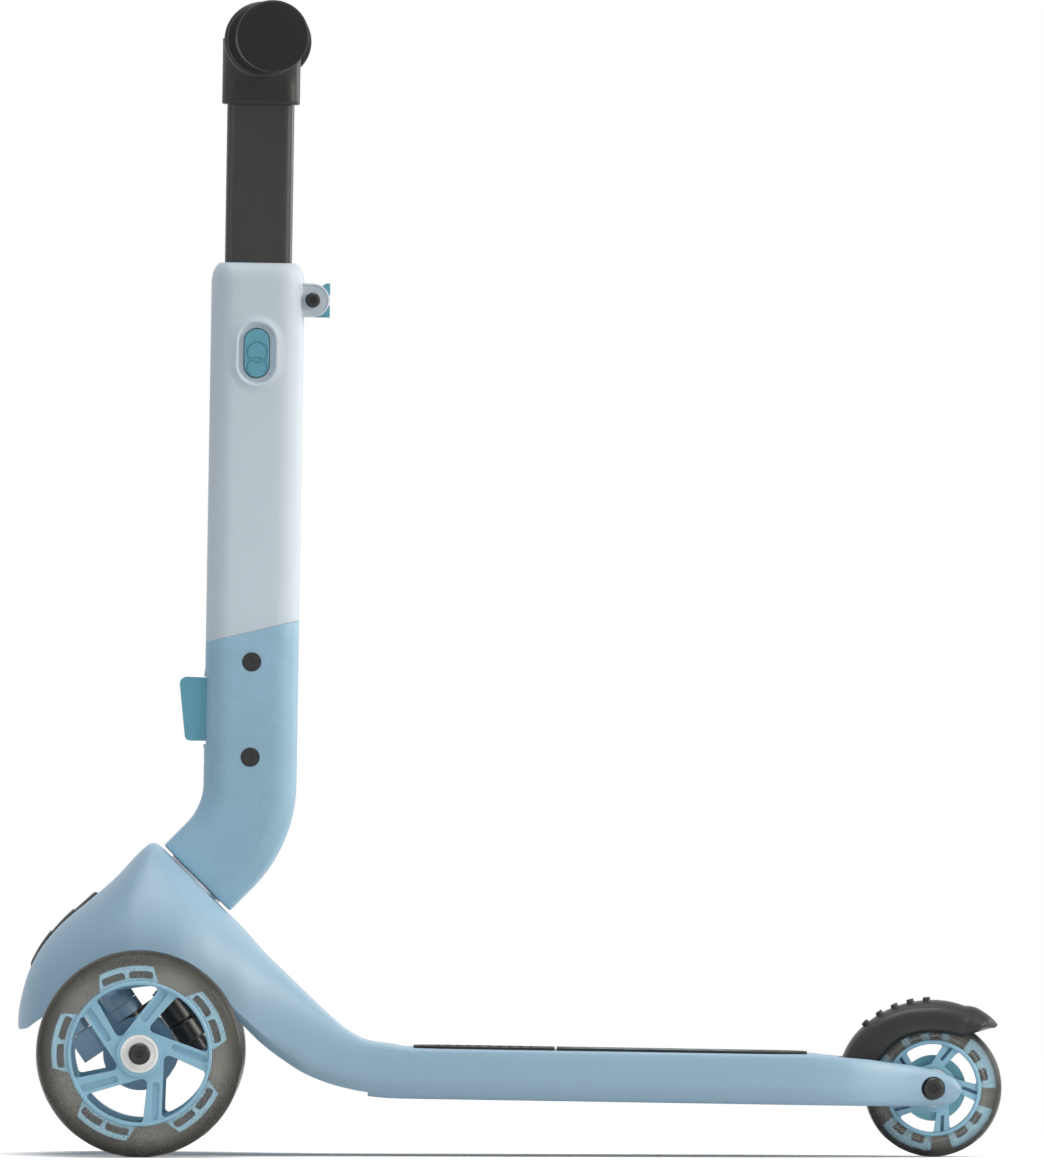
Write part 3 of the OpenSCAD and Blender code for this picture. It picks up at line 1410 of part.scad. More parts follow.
// A rubber grip: inner flange, ribbed body and a closed end disc with a soft edge
grip_ribs = 12;
flange_edge = 1.5;
module grip() {
    r = grip_d / 2;
    disc = grip_disc_d / 2;
    first = 10;
    last = grip_len - 12;
    step = (last - first) / grip_ribs;
    bar_end() rotate([-90, 0, 0]) difference() {
        rotate_extrude() polygon(concat(
            [[0, 0.8], [disc - 1.2, 0.8], [disc - 0.3, 2.2], [disc - 0.3, 4.2], [disc - 1.4, 5.4],
             [r + 1, 6.5]],
            [for (k = [0:grip_ribs - 1]) each [[r, first + k * step],
                [r + 1, first + (k + 0.3) * step], [r + 1, first + (k + 0.7) * step]]],
            [[r, last], [r + 1, grip_len - 8.5], [disc - 1, grip_len - 7],
             [disc, grip_len - 5.5], [disc, grip_len - flange_edge],
             [disc - flange_edge, grip_len], [0, grip_len + 0.3]]));
        translate([0, 0, -1]) cylinder(d = bar_core_d, h = grip_len - 7);
    }
}

module grip_left() { color(matte_black) in_frame() sided(-1) grip(); }
module grip_right() { color(matte_black) in_frame() sided(1) grip(); }

frame_shell();
deck_grip();
deck_inlay();
nose_strip();
swivel_plate();
swivel_bolt();
swivel_nut();
kingpins();
rear_axle();
rear_axle_nut();
rear_spacers();
fender_pin();
knuckle_left();
lever_plate_left();
buffers_left();
buffer_bolt_left();
tie_pin_left();
axle_left();
knuckle_right();
lever_plate_right();
buffers_right();
buffer_bolt_right();
tie_pin_right();
axle_right();
tie_rod();
hub_left();
tyre_left();
bearings_left();
wheel_spacer_left();
hub_right();
tyre_right();
bearings_right();
wheel_spacer_right();
hub_rear();
core_ring_rear();
tyre_rear();
bearings_rear();
wheel_spacer_rear();
brake_fender();
brake_plate();
fender_spring();
elbow();
column_sleeve();
column_bolts();
guide_bushing();
clip_bolt();
lever_pin();
lever_spring();
fold_lever();
lock_pin();
pull_link();
height_button();
rear_clip();
bar_tube();
bar_junction();
handlebar();
grip_left();
grip_right();
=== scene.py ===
"""A three wheel kids scooter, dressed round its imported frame.

Shapes are worked out in millimetres in the deck's own frame: the origin is the middle
of the front axle line, u runs to the rear, y to the far side and w is square to the
deck. to_row() pitches them and puts them in the row frame, in metres.
"""

import math

import bmesh
import bpy
import numpy as np
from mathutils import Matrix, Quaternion, Vector


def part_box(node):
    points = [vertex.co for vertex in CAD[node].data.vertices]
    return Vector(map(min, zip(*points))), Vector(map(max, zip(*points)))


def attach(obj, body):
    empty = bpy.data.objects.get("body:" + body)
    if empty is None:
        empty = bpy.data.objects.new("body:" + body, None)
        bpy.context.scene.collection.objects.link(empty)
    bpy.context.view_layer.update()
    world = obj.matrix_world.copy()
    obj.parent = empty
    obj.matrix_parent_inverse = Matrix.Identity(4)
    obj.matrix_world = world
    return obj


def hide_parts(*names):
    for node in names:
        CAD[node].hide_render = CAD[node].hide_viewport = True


bl_info = {
    "name": "Three Wheel Kids Scooter",
    "version": (1, 0, 0),
    "blender": (4, 5, 0),
    "location": "View3D > Sidebar > Scooter",
    "description": "Builds the moulded body, wheels, column and bar of a kids scooter",
    "category": "Object",
}

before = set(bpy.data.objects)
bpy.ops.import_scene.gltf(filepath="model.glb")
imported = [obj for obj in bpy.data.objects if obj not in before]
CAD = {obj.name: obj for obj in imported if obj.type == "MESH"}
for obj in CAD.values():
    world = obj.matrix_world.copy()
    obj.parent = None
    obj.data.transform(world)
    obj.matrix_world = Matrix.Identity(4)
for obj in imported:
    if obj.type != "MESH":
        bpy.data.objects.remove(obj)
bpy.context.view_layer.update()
MM = 0.001

# The deck's own frame


def middle(node):
    """The middle of a CAD node's box, in the row frame."""
    low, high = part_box(node)
    return (low + high) / 2


FRONT_HUB = middle("tyre_left")
REAR_HUB = middle("tyre_rear")
FRONT_R = FRONT_HUB.z / MM
REAR_R = REAR_HUB.z / MM
TRACK = (middle("tyre_right").y - FRONT_HUB.y) / MM
WHEELBASE = 460.0
AXLE_DROP = 13.8
PITCH = math.atan2(FRONT_HUB.z - REAR_HUB.z, REAR_HUB.x - FRONT_HUB.x) - math.atan2(
    AXLE_DROP, WHEELBASE
)


def to_row(points):
    """Deck frame to row frame: turned by the pitch about the front axle, then moved."""
    p = np.asarray(points, float) * MM
    u, y, w = p[..., 0], p[..., 1], p[..., 2]
    c, s = math.cos(PITCH), math.sin(PITCH)
    return np.stack([FRONT_HUB.x + u * c + w * s, y, FRONT_HUB.z - u * s + w * c], -1)


def frame_at(origin, x, z):
    """A turned frame in the deck's: an origin and its three axes as rows of a matrix."""
    x, z = np.array(x, float), np.array(z, float)
    x, z = x / np.linalg.norm(x), z / np.linalg.norm(z)
    return np.array(origin, float), np.stack([x, np.cross(z, x), z])


def placed(points, where):
    """Points of a turned frame, in the deck's frame."""
    origin, axes = where
    return np.asarray(points, float) @ axes + origin


# Shapes: arrays of points and faces


def grid(points, wrap_rows=False, wrap_columns=True, first=0):
    """Four-sided faces between neighbours in rows and columns of points."""
    n, m = points.shape[:2]
    i = np.arange(n if wrap_rows else n - 1)[:, None]
    j = np.arange(m if wrap_columns else m - 1)[None, :]
    down, along = (i + 1) % n, (j + 1) % m
    corners = [i * m + j, i * m + along, down * m + along, down * m + j]
    faces = np.stack(np.broadcast_arrays(*corners), -1).reshape(-1, 4) + first
    return points.reshape(-1, 3), faces.tolist()


def shape_of(points, closed_rows=False, ends=False):
    """A solid skin from rows of closed rings, closed end to end or with flat ends."""
    verts, faces = grid(points, wrap_rows=closed_rows)
    if ends:
        m = points.shape[1]
        last = len(verts) - m
        faces += [list(range(m)), list(range(last + m - 1, last - 1, -1))]
    return verts, faces


def drawn_to_point(ring):
    """A ring with every point at its middle, which closes a skin."""
    return np.repeat(ring.mean(0)[None], len(ring), 0)


def joined(*shapes):
    """Several shapes as one."""
    verts, faces, base = [], [], 0
    for v, f in shapes:
        verts.append(v)
        faces += [[i + base for i in face] for face in f]
        base += len(v)
    return np.vstack(verts), faces


def turned(profile, segments, where):
    """A profile of (radius, height) points turned about the frame's third axis."""
    profile = np.asarray(profile, float)
    a = np.radians(np.arange(segments) * 360 / segments)[None, :]
    r, h = profile[:, :1], profile[:, 1:2]
    ring = np.stack([r * np.cos(a), r * np.sin(a), h + 0 * a], -1)
    return shape_of(placed(ring, where), closed_rows=True)


def prism(outline, low, high, where):
    """A flat outline carried from one height to another along the frame's third axis."""
    outline = np.asarray(outline, float)
    rings = [np.column_stack([outline, np.full(len(outline), h)]) for h in (low, high)]
    return shape_of(placed(np.stack(rings), where), ends=True)


def lifted(line, height):
    """A line's points in its plane, moved off it to its left by a height."""
    out = np.gradient(line, axis=0)[:, ::-1] * [-1, 1]
    out /= np.linalg.norm(out, axis=1, keepdims=True)
    return line + out * height[..., None]


def shell_between(outer, inner):
    """A closed skin: two sheets of the same rows and columns, joined round their edge."""
    n, m = outer.shape[:2]
    verts, faces = grid(outer, wrap_columns=False)
    back, back_faces = grid(inner[:, ::-1], wrap_columns=False, first=n * m)
    faces += back_faces
    i, j = np.arange(n - 1), np.arange(m - 1)

    def other(row, column):
        """The place in the second sheet that faces one in the first."""
        return n * m + row * m + (m - 1 - column)

    for column in (0, m - 1):
        faces += np.stack([i * m + column, (i + 1) * m + column, other(i + 1, column),
                           other(i, column)], -1).tolist()
    for row in (0, n - 1):
        faces += np.stack([row * m + j, row * m + j + 1, other(row, j + 1),
                           other(row, j)], -1).tolist()
    return np.vstack([verts, back]), faces


def softened(profile, radius, steps=4):
    """A closed profile with each corner replaced by a quadratic curve."""
    p = np.asarray(profile, float)
    before, after = np.roll(p, 1, 0) - p, np.roll(p, -1, 0) - p
    near, far = (np.linalg.norm(d, axis=1, keepdims=True) for d in (before, after))
    cut = np.minimum(radius, 0.45 * np.minimum(near, far))
    a, b = p + before / near * cut, p + after / far * cut
    t = np.linspace(0, 1, steps + 1)[None, :, None]
    curve = (1 - t) ** 2 * a[:, None] + 2 * t * (1 - t) * p[:, None] + t**2 * b[:, None]
    return curve.reshape(-1, 2)


def rounded_ring(depth, width, radius):
    """A rounded rectangle: arcs about four corner centres, joined by divided sides."""
    radius = min(radius, depth / 2 - 0.01, width / 2 - 0.01)
    a = np.radians(np.linspace(0, 90, 10))
    quarter = np.stack([np.cos(a), np.sin(a)], -1) * radius
    reach = np.array([depth / 2 - radius, width / 2 - radius])
    signs = [(1, 1), (-1, 1), (-1, -1), (1, -1)]
    turns = [quarter, quarter[::-1] * [-1, 1], -quarter, quarter[::-1] * [1, -1]]
    corners = [t + reach * s for t, s in zip(turns, signs)]
    t = np.linspace(0, 1, 7)[1:-1, None]
    ring = []
    for arc, following in zip(corners, corners[1:] + corners[:1]):
        ring += [arc, arc[-1] * (1 - t) + following[0] * t]
    return np.vstack(ring)


def stadium_ring(length, width):
    """A slot's outline, two half circles and the straight lines between them, and its
    outward normals, both as rows of points."""
    r, half, side = width / 2, (length - width) / 2, 8
    a = np.radians(np.linspace(-90, 90, 24))
    right = np.stack([np.cos(a), np.sin(a)], -1)
    normals = np.vstack([right, np.tile([0.0, 1.0], (side, 1)), -right,
                         np.tile([0.0, -1.0], (side, 1))])
    t = np.linspace(0, 1, side + 2)[1:-1, None]
    top = np.hstack([half * (1 - 2 * t), np.full((side, 1), r)])
    points = np.vstack([right * r + [half, 0], top, -right * r - [half, 0], -top])
    return points, normals


def fair(table, steps):
    """Rows between a table's rows: cubics whose slopes are the harmonic mean of their
    neighbours' and vanish at a turning point, so that no column overshoots."""
    table = np.asarray(table, float)
    d = np.diff(table, axis=0)
    same = d[1:] * d[:-1] > 0
    slope = np.zeros_like(table)
    total = np.where(same, d[1:] + d[:-1], 1)
    slope[1:-1] = np.where(same, 2 * d[1:] * d[:-1] / total, 0)
    slope[0], slope[-1] = d[0], d[-1]
    t = (np.arange(steps) / steps)[None, :, None]
    a, b, ma, mb = table[:-1, None], table[1:, None], slope[:-1, None], slope[1:, None]
    rows = ((2 * t**3 - 3 * t**2 + 1) * a + (t**3 - 2 * t**2 + t) * ma
            + (3 * t**2 - 2 * t**3) * b + (t**3 - t**2) * mb)
    return np.vstack([rows.reshape(-1, table.shape[1]), table[-1:]])


# Meshes and pieces


def new_object(name, shape):
    """An object whose mesh is the shape, merged, closed and with its faces outward."""
    verts, faces = shape
    mesh = bpy.data.meshes.new(name)
    mesh.from_pydata(to_row(verts), [], faces)
    work = bmesh.new()
    work.from_mesh(mesh)
    bmesh.ops.remove_doubles(work, verts=work.verts, dist=2e-6)
    bmesh.ops.recalc_face_normals(work, faces=work.faces)
    work.to_mesh(mesh)
    work.free()
    made = bpy.data.objects.new(name, mesh)
    bpy.context.scene.collection.objects.link(made)
    return made


ADD, CUT = "UNION", "DIFFERENCE"


def carved(target, steps):
    """The target after each shape is added to it or cut from it, in turn."""
    for operation, shape in steps:
        tool = new_object("carving_tool", shape)
        change = target.modifiers.new("carving", "BOOLEAN")
        change.operation, change.solver, change.object = operation, "EXACT", tool
        graph = bpy.context.evaluated_depsgraph_get()
        result = bpy.data.meshes.new_from_object(target.evaluated_get(graph))
        target.modifiers.clear()
        target.data = result
        bpy.data.objects.remove(tool)
    return target


def finished(piece, body, material, sharp=32.0, replaces=()):
    """Shades a piece smooth up to an angle, paints it, and puts it on its CAD body."""
    mesh = piece.data
    mesh.shade_smooth()
    mesh.set_sharp_from_angle(angle=math.radians(sharp))
    mesh.materials.clear()
    mesh.materials.append(bpy.data.materials[material])
    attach(piece, body)
    if replaces:
        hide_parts(*replaces)


# Materials

FLOAT, COLOR, VECTOR = "NodeSocketFloat", "NodeSocketColor", "NodeSocketVector"
GREY = (0.5, 0.5, 0.5, 1)


def colour(code):
    """A colour written as #rrggbb, in the linear values that shaders use."""
    parts = [int(code[i:i + 2], 16) / 255 for i in (1, 3, 5)]
    return [c / 12.92 if c <= 0.04045 else ((c + 0.055) / 1.055) ** 2.4 for c in parts]


def put(tree, socket, value):
    """Gives an input its value: another node's socket, or a plain one."""
    if isinstance(value, bpy.types.NodeSocket):
        tree.links.new(value, socket)
    else:
        socket.default_value = value


def feed(tree, node, **values):
    """Fills a node's inputs, named here with underscores for spaces."""
    for key, value in values.items():
        put(tree, node.inputs[key.replace("_", " ")], value)
    return node


def add_node(tree, kind, **values):
    """A node with its properties set and its inputs filled."""
    node = tree.nodes.new("ShaderNode" + kind)
    for key, value in values.items():
        if key.replace("_", " ") in node.inputs:
            feed(tree, node, **{key: value})
        else:
            setattr(node, key, value)
    return node


def maths(tree, operation, a, b, clamp=False):
    """A Math node. Each operand is a number or a socket."""
    node = add_node(tree, "Math", operation=operation, use_clamp=clamp)
    put(tree, node.inputs[0], a)
    put(tree, node.inputs[1], b)
    return node.outputs[0]


def mixed(tree, share, a, b):
    """The first colour at share 0 and the second at share 1."""
    node = add_node(tree, "Mix", data_type="RGBA")
    for k, value in ((0, share), (6, a), (7, b)):
        put(tree, node.inputs[k], value)
    return node.outputs[2]


def stretched_place(tree, stretch):
    """Object coordinates times a stretch along each axis."""
    place = add_node(tree, "TexCoord").outputs["Object"]
    scaled = add_node(tree, "VectorMath", operation="MULTIPLY", Vector=place)
    put(tree, scaled.inputs[1], stretch)
    return scaled.outputs[0]


def new_group(name, inputs, outputs):
    """A shader node group: its tree, its inputs' sockets by name, and its output node.
    An input's kind follows from its default: a number, three numbers or a colour."""
    tree = bpy.data.node_groups.new(name, "ShaderNodeTree")
    kinds = {0: FLOAT, 3: VECTOR, 4: COLOR}
    for label, default in inputs.items():
        kind = kinds[len(default) if isinstance(default, tuple) else 0]
        socket = tree.interface.new_socket(label, in_out="INPUT", socket_type=kind)
        socket.default_value = default
    for label, kind in outputs.items():
        tree.interface.new_socket(label, in_out="OUTPUT", socket_type=kind)
    given = tree.nodes.new("NodeGroupInput")
    return tree, given.outputs, tree.nodes.new("NodeGroupOutput")


def add_group(tree, name, **values):
    """A node group placed in a tree: the sockets of its outputs by name."""
    node = tree.nodes.new("ShaderNodeGroup")
    node.node_tree = bpy.data.node_groups[name]
    return feed(tree, node, **values).outputs


def build_moulded_grain():
    """Grain of moulded plastic: a fine pebble for the height, slow noise that shades
    the colour, and both for the roughness."""
    tree, given, out = new_group(
        "Moulded Grain", {"Color": GREY, "Grain": 900.0, "Mottle": 0.06,
                          "Roughness": 0.45, "Spread": 0.1},
        {"Color": COLOR, "Roughness": FLOAT, "Height": FLOAT})
    place = add_node(tree, "TexCoord").outputs["Object"]
    pebble = add_node(tree, "TexNoise", Vector=place, Scale=given["Grain"], Detail=3.0,
                      Roughness=0.6).outputs["Fac"]
    slow = add_node(tree, "TexNoise", Vector=place, Scale=22.0, Detail=4.0,
                    Roughness=0.65).outputs["Fac"]
    both = maths(tree, "ADD", maths(tree, "MULTIPLY", slow, 0.6),
                 maths(tree, "MULTIPLY", pebble, 0.4))
    swing = maths(tree, "SUBTRACT", both, 0.5)
    shade = maths(tree, "ADD", 1.0, maths(
        tree, "MULTIPLY", swing, maths(tree, "MULTIPLY", given["Mottle"], 4.0)))
    tint = add_node(tree, "VectorMath", operation="SCALE", Vector=given["Color"],
                    Scale=shade)
    rough = maths(tree, "ADD", given["Roughness"], maths(
        tree, "MULTIPLY", swing, maths(tree, "MULTIPLY", given["Spread"], 2.0)),
        clamp=True)
    feed(tree, out, Color=tint.outputs[0], Roughness=rough, Height=pebble)


def build_handling_marks():
    """Faint rub marks: noise stretched along one way and cut to its peaks."""
    tree, given, out = new_group(
        "Handling Marks", {"Stretch": (1.0, 1.0, 6.0), "Amount": 0.5}, {"Mask": FLOAT})
    noise = add_node(tree, "TexNoise", Vector=stretched_place(tree, given["Stretch"]),
                     Scale=60.0, Detail=5.0, Roughness=0.7).outputs["Fac"]
    peaks = maths(tree, "SUBTRACT", noise, 0.56, clamp=True)
    feed(tree, out, Mask=maths(tree, "MULTIPLY", maths(tree, "MULTIPLY", peaks, 4.0),
                               given["Amount"], clamp=True))


def build_soft_edge():
    """Normal of a moulding whose edges are rounded by a small radius, over a bump."""
    tree, given, out = new_group(
        "Soft Edge", {"Radius": 0.0004, "Height": 0.5, "Strength": 0.2, "Depth": 0.0002},
        {"Normal": VECTOR})
    edge = add_node(tree, "Bevel", samples=4, Radius=given["Radius"])
    bump = add_node(tree, "Bump", Height=given["Height"], Strength=given["Strength"],
                    Distance=given["Depth"], Normal=edge.outputs[0])
    feed(tree, out, Normal=bump.outputs[0])


def build_brushed_grain():
    """A metal brushed along one way: noise stretched along it, for gloss and height."""
    tree, given, out = new_group(
        "Brushed Grain", {"Color": GREY, "Stretch": (500.0, 80.0, 500.0),
                          "Roughness": 0.35},
        {"Color": COLOR, "Roughness": FLOAT, "Height": FLOAT})
    fine = add_node(tree, "TexNoise", Vector=stretched_place(tree, given["Stretch"]),
                    Scale=1.0, Detail=4.0, Roughness=0.6).outputs["Fac"]
    grain = add_group(tree, "Moulded Grain", Color=given["Color"], Grain=300.0,
                      Mottle=0.05, Roughness=given["Roughness"], Spread=0.08)
    varied = maths(tree, "ADD", grain["Roughness"], maths(
        tree, "MULTIPLY", maths(tree, "SUBTRACT", fine, 0.5), 0.2), clamp=True)
    feed(tree, out, Color=grain["Color"], Roughness=varied, Height=fine)


def build_outward_shade():
    """A colour that goes from near to far with the mesh's own outwards attribute; on the
    tyres it is painted shade, darker towards the tread.
    """
    tree, given, out = new_group(
        "Outward Painted Shade", {"Near": GREY, "Far": GREY, "Start": 0.0}, {"Color": COLOR})
    outwards = add_node(tree, "Attribute", attribute_name="outwards").outputs["Fac"]
    share = add_node(tree, "MapRange", interpolation_type="SMOOTHSTEP", Value=outwards,
                     From_Min=given["Start"])
    feed(tree, out, Color=mixed(tree, share.outputs[0], given["Near"], given["Far"]))


def new_material(name, **shader):
    """A material with a few of its shader's own values: its tree and its shader."""
    material = bpy.data.materials.new(name)
    material.use_nodes = True
    tree = material.node_tree
    return tree, feed(tree, tree.nodes["Principled BSDF"], **shader)


def moulded(name, tint, grain=900.0, mottle=0.05, rough=0.45, spread=0.12, edge=0.0004,
            strength=0.25, marks=0.0, **shader):
    """A moulded plastic or rubber: its grain, its soft edges and its rub marks."""
    tree, principled = new_material(name, **shader)
    plastic = add_group(tree, "Moulded Grain", Color=(*tint, 1), Grain=grain,
                        Mottle=mottle, Roughness=rough, Spread=spread)
    shade, worn = plastic["Color"], plastic["Roughness"]
    if marks:
        rubbed = add_group(tree, "Handling Marks", Amount=marks)["Mask"]
        lighter = [min(1.0, c * 1.5 + 0.02) for c in tint]
        shade = mixed(tree, rubbed, shade, (*lighter, 1))
        worn = maths(tree, "SUBTRACT", worn, maths(tree, "MULTIPLY", rubbed, 0.12),
                     clamp=True)
    soft = add_group(tree, "Soft Edge", Radius=edge, Strength=strength,
                     Height=plastic["Height"])
    feed(tree, principled, Base_Color=shade, Roughness=worn, Normal=soft["Normal"])


def brushed(name, tint, stretch, rough, metallic):
    """A brushed metal with soft edges."""
    tree, principled = new_material(name, Metallic=metallic)
    metal = add_group(tree, "Brushed Grain", Color=(*tint, 1), Stretch=stretch,
                      Roughness=rough)
    soft = add_group(tree, "Soft Edge", Radius=0.0003, Strength=0.12,
                     Height=metal["Height"])
    feed(tree, principled, Base_Color=metal["Color"], Roughness=metal["Roughness"],
         Normal=soft["Normal"])


def clouded_rubber(name, near, far, start, mottle, rough, **shader):
    """Cast polyurethane, cloudy and fine-grained, with painted shade: its colour darkens
    from near to far, towards its tread.
    """
    tree, principled = new_material(name, **shader)
    shade = add_group(tree, "Outward Painted Shade", Near=(*near, 1), Far=(*far, 1), Start=start)
    grain = add_group(tree, "Moulded Grain", Color=shade["Color"], Grain=1300.0,
                      Mottle=mottle, Roughness=rough, Spread=0.2)
    bump = add_node(tree, "Bump", Strength=0.1, Distance=0.0002, Height=grain["Height"])
    feed(tree, principled, Base_Color=grain["Color"], Roughness=grain["Roughness"],
         Normal=bump.outputs[0])


def tint_of(name, description, code):
    """A colour that the user may change, by default the one written as #rrggbb."""
    return bpy.props.FloatVectorProperty(name=name, description=description,
                                         subtype="COLOR", default=colour(code))


class ScooterFinishes(bpy.types.PropertyGroup):
    """Colours of the scooter's mouldings, rubber and metal"""

    body: tint_of("Body", "Nose, deck and fork", "#90aec3")
    elbow: tint_of("Elbow", "Bent lower half of the column", "#92b6cb")
    hub: tint_of("Hubs", "Wheel rims and spokes", "#8fbbd2")
    column: tint_of("Column", "Pale upper half of the column", "#cad5df")
    teal: tint_of("Controls", "Button, lever, clip and deck inlay", "#609fb3")
    black: tint_of("Black Plastic", "Bar junction, fender and nose strip", "#232323")
    rubber: tint_of("Black Rubber", "Grips, deck pads and buffers", "#1b1b1b")
    # The tread colour is painted shade: the tyres are blended to it, darker towards the
    # tread
    tyre_near: tint_of("Tyre", "Clear rubber next to the rim", "#eceae5")
    tyre_tread_shade: tint_of("Tyre Tread", "Clear rubber at the tread", "#7b7873")
    # Painted shade: colours of the sheet put inside each tyre, paler next to the rim
    shade_sheet_near: tint_of("Tyre Depth", "Shade deep inside the tyres next to the rim",
                        "#8f8b84")
    shade_sheet_far: tint_of("Tyre Depth Tread", "Shade deep inside the tyres at the tread",
                       "#4d4a46")


class ScooterSizes(bpy.types.PropertyGroup):
    """Sizes that the frame leaves to the dressing"""

    lip_round: bpy.props.FloatProperty(
        name="Column Shoulder", description="How far the column's top draws in",
        unit="LENGTH", default=0.0062, min=0.002, max=0.007)
    bezel_rise: bpy.props.FloatProperty(
        name="Bezel Rise", description="Height of the ridge round the button",
        unit="LENGTH", default=0.0013, min=0.0004, max=0.0018)
    stud_rise: bpy.props.FloatProperty(
        name="Stud Rise", description="Height of the fender's studs",
        unit="LENGTH", default=0.0017, min=0.0005, max=0.002)
    grip_rib: bpy.props.FloatProperty(
        name="Grip Rib", description="Height of the ribs on the grips",
        unit="LENGTH", default=0.0011, min=0.0003, max=0.0015)
    grip_ribs: bpy.props.IntProperty(
        name="Grip Ribs", description="Number of ribs on each grip", default=12,
        min=6, max=24)
    camera_distance: bpy.props.FloatProperty(
        name="Camera Distance", description="From the camera to the scooter's middle",
        unit="LENGTH", default=24.0, min=5.0, max=24.0)


# The moulded frame

NOSE_REACH, NOSE_HALF, DECK_HALF, WALL = 71.6, 85.0, 57.0, 3.5
DECK_TOP, DECK_BOTTOM = 4.8, -24.4
SWIVEL_SLOPE = math.radians(44.0)
BEND_R, BEND_W, ELBOW_TAIL, SWIVEL_GAP = 60.6, 156.6, 18.5, 2.0
SWIVEL_U = BEND_R * math.cos(SWIVEL_SLOPE) - ELBOW_TAIL * math.sin(SWIVEL_SLOPE)
SWIVEL_W = (BEND_W - BEND_R * math.sin(SWIVEL_SLOPE)
            - ELBOW_TAIL * math.cos(SWIVEL_SLOPE))
SWIVEL_AXIS = np.array([math.sin(SWIVEL_SLOPE), 0, math.cos(SWIVEL_SLOPE)])
SLOPE_U = SWIVEL_U - SWIVEL_GAP * math.sin(SWIVEL_SLOPE)
SLOPE_W = SWIVEL_W - SWIVEL_GAP * math.cos(SWIVEL_SLOPE)
APEX_U, LOW_CORNER = 5.0, 9.0
EASE_FROM, EASE_DROP, EASE = 60, 2.2, 11


def slope_at(u):
    """Height of the straight slope that faces the elbow."""
    return SLOPE_W - (u - SLOPE_U) * math.tan(SWIVEL_SLOPE)


def top_at(u):
    """The slope from the nose, eased into the deck along a hyperbola: half of the sum of
    the height over the deck and the root of its square plus the ease's."""
    if u < EASE_FROM:
        return slope_at(u)
    d = slope_at(u) - EASE_DROP - DECK_TOP
    return DECK_TOP + (d + math.sqrt(d * d + EASE**2)) / 2


NOSE_TOP = slope_at(APEX_U) - 1.3
# Share of the reach, underside, share of the height, share of the half width, flat top
NOSE_ROWS = [
    (1.000, 14.5, 0.140, 0.24, 16), (0.994, 13.0, 0.190, 0.38, 24),
    (0.977, 12.2, 0.246, 0.49, 28), (0.930, 12.8, 0.355, 0.61, 31),
    (0.830, 18.0, 0.478, 0.725, 32), (0.660, 25.0, 0.603, 0.82, 30),
    (0.440, 31.0, 0.716, 0.925, 28), (0.225, 35.5, 0.828, 0.98, 26),
    (0.070, 37.5, 0.930, 1.00, 25), (-0.015, 38.5, 0.980, 1.00, 24.5)]
# Place, height of the underside above the deck's, share of the way to the deck's width,
# flat top
NECK_ROWS = [
    (9.5, 63.5, 0.00, 25), (20, 64.0, 0.04, 27), (34, 61.5, 0.20, 29.5),
    (46, 53.2, 0.35, 31.5), (58, 42.3, 0.47, 34), (70, 30.8, 0.61, 38),
    (82, 21.4, 0.73, 42), (94, 13.4, 0.82, 45.5), (106, 7.8, 0.90, 48.5),
    (119, 3.8, 0.95, 51), (132, 1.2, 0.985, 52.8), (145, 0.2, 1.00, 53.5)]
# Place behind the rear axle, top, underside, half width, flat top
FORK_ROWS = [
    (-62, 3.9, 0, 56.5, 52.5), (-50, 3.1, 0, 55, 50.5), (-38, 2.3, 0, 50.5, 46),
    (-26, 0.8, 0, 43.5, 38.5), (-13, -0.7, 0, 36.5, 32), (-3, -2.5, 0.1, 33, 28.5),
    (5, -4.7, 0.6, 31, 26.5), (10, -6.7, 1.9, 30, 25.6), (13.4, -9.2, 4.0, 29.2, 25),
    (15.3, -11.8, 6.6, 28.6, 24.8), (16.1, -14.0, 9.2, 28.4, 24.6)]
HOLLOW_FIRST, HOLLOW_LAST = 3, 21


def body_stations():
    """Place, underside, top, half width, flat top, squareness and lower corner."""
    rows = [(-NOSE_REACH * s, low, NOSE_TOP * h, NOSE_HALF * x, flat, 2, 1.5)
            for s, low, h, x, flat in NOSE_ROWS]
    rows.append((APEX_U, DECK_BOTTOM + 63.2, NOSE_TOP, NOSE_HALF, 24.5, 2, 1.5))
    rows += [(u, DECK_BOTTOM + low, top_at(u), NOSE_HALF + (DECK_HALF - NOSE_HALF) * t,
              flat, 2 + 0.8 * t, 1.5 + (LOW_CORNER - 1.5) * t)
             for u, low, t, flat in NECK_ROWS]
    rows += [(u, DECK_BOTTOM, DECK_TOP, DECK_HALF, 53.5, 2.8, LOW_CORNER)
             for u in (158, WHEELBASE - 73)]
    rows += [(WHEELBASE + u, DECK_BOTTOM + low, top, half, flat, 2.8,
              min(LOW_CORNER, (top - DECK_BOTTOM - low) * 0.4))
             for u, top, low, half, flat in FORK_ROWS]
    return np.array(rows, float)


def eased_ridge(u, top, s):
    """The top line near the apex, averaged along u with a bell-shaped weight. Its reach
    grows from 2.4 mm at the crown, where s is 1, to 28 mm at the widest line."""
    reach = (2.4 + 26 * (1 - s) ** 0.7)[:, None, :]
    apart = (u[:, None] - u[None, :])[:, :, None]
    weight = np.exp(-0.5 * (apart / reach) ** 2) * np.gradient(u)[None, :, None]
    mean = (weight * top[None, :, None]).sum(1) / weight.sum(1)
    near = np.exp(-((u - APEX_U) / 42) ** 2)[:, None]
    return top[:, None] + (mean - top[:, None]) * near


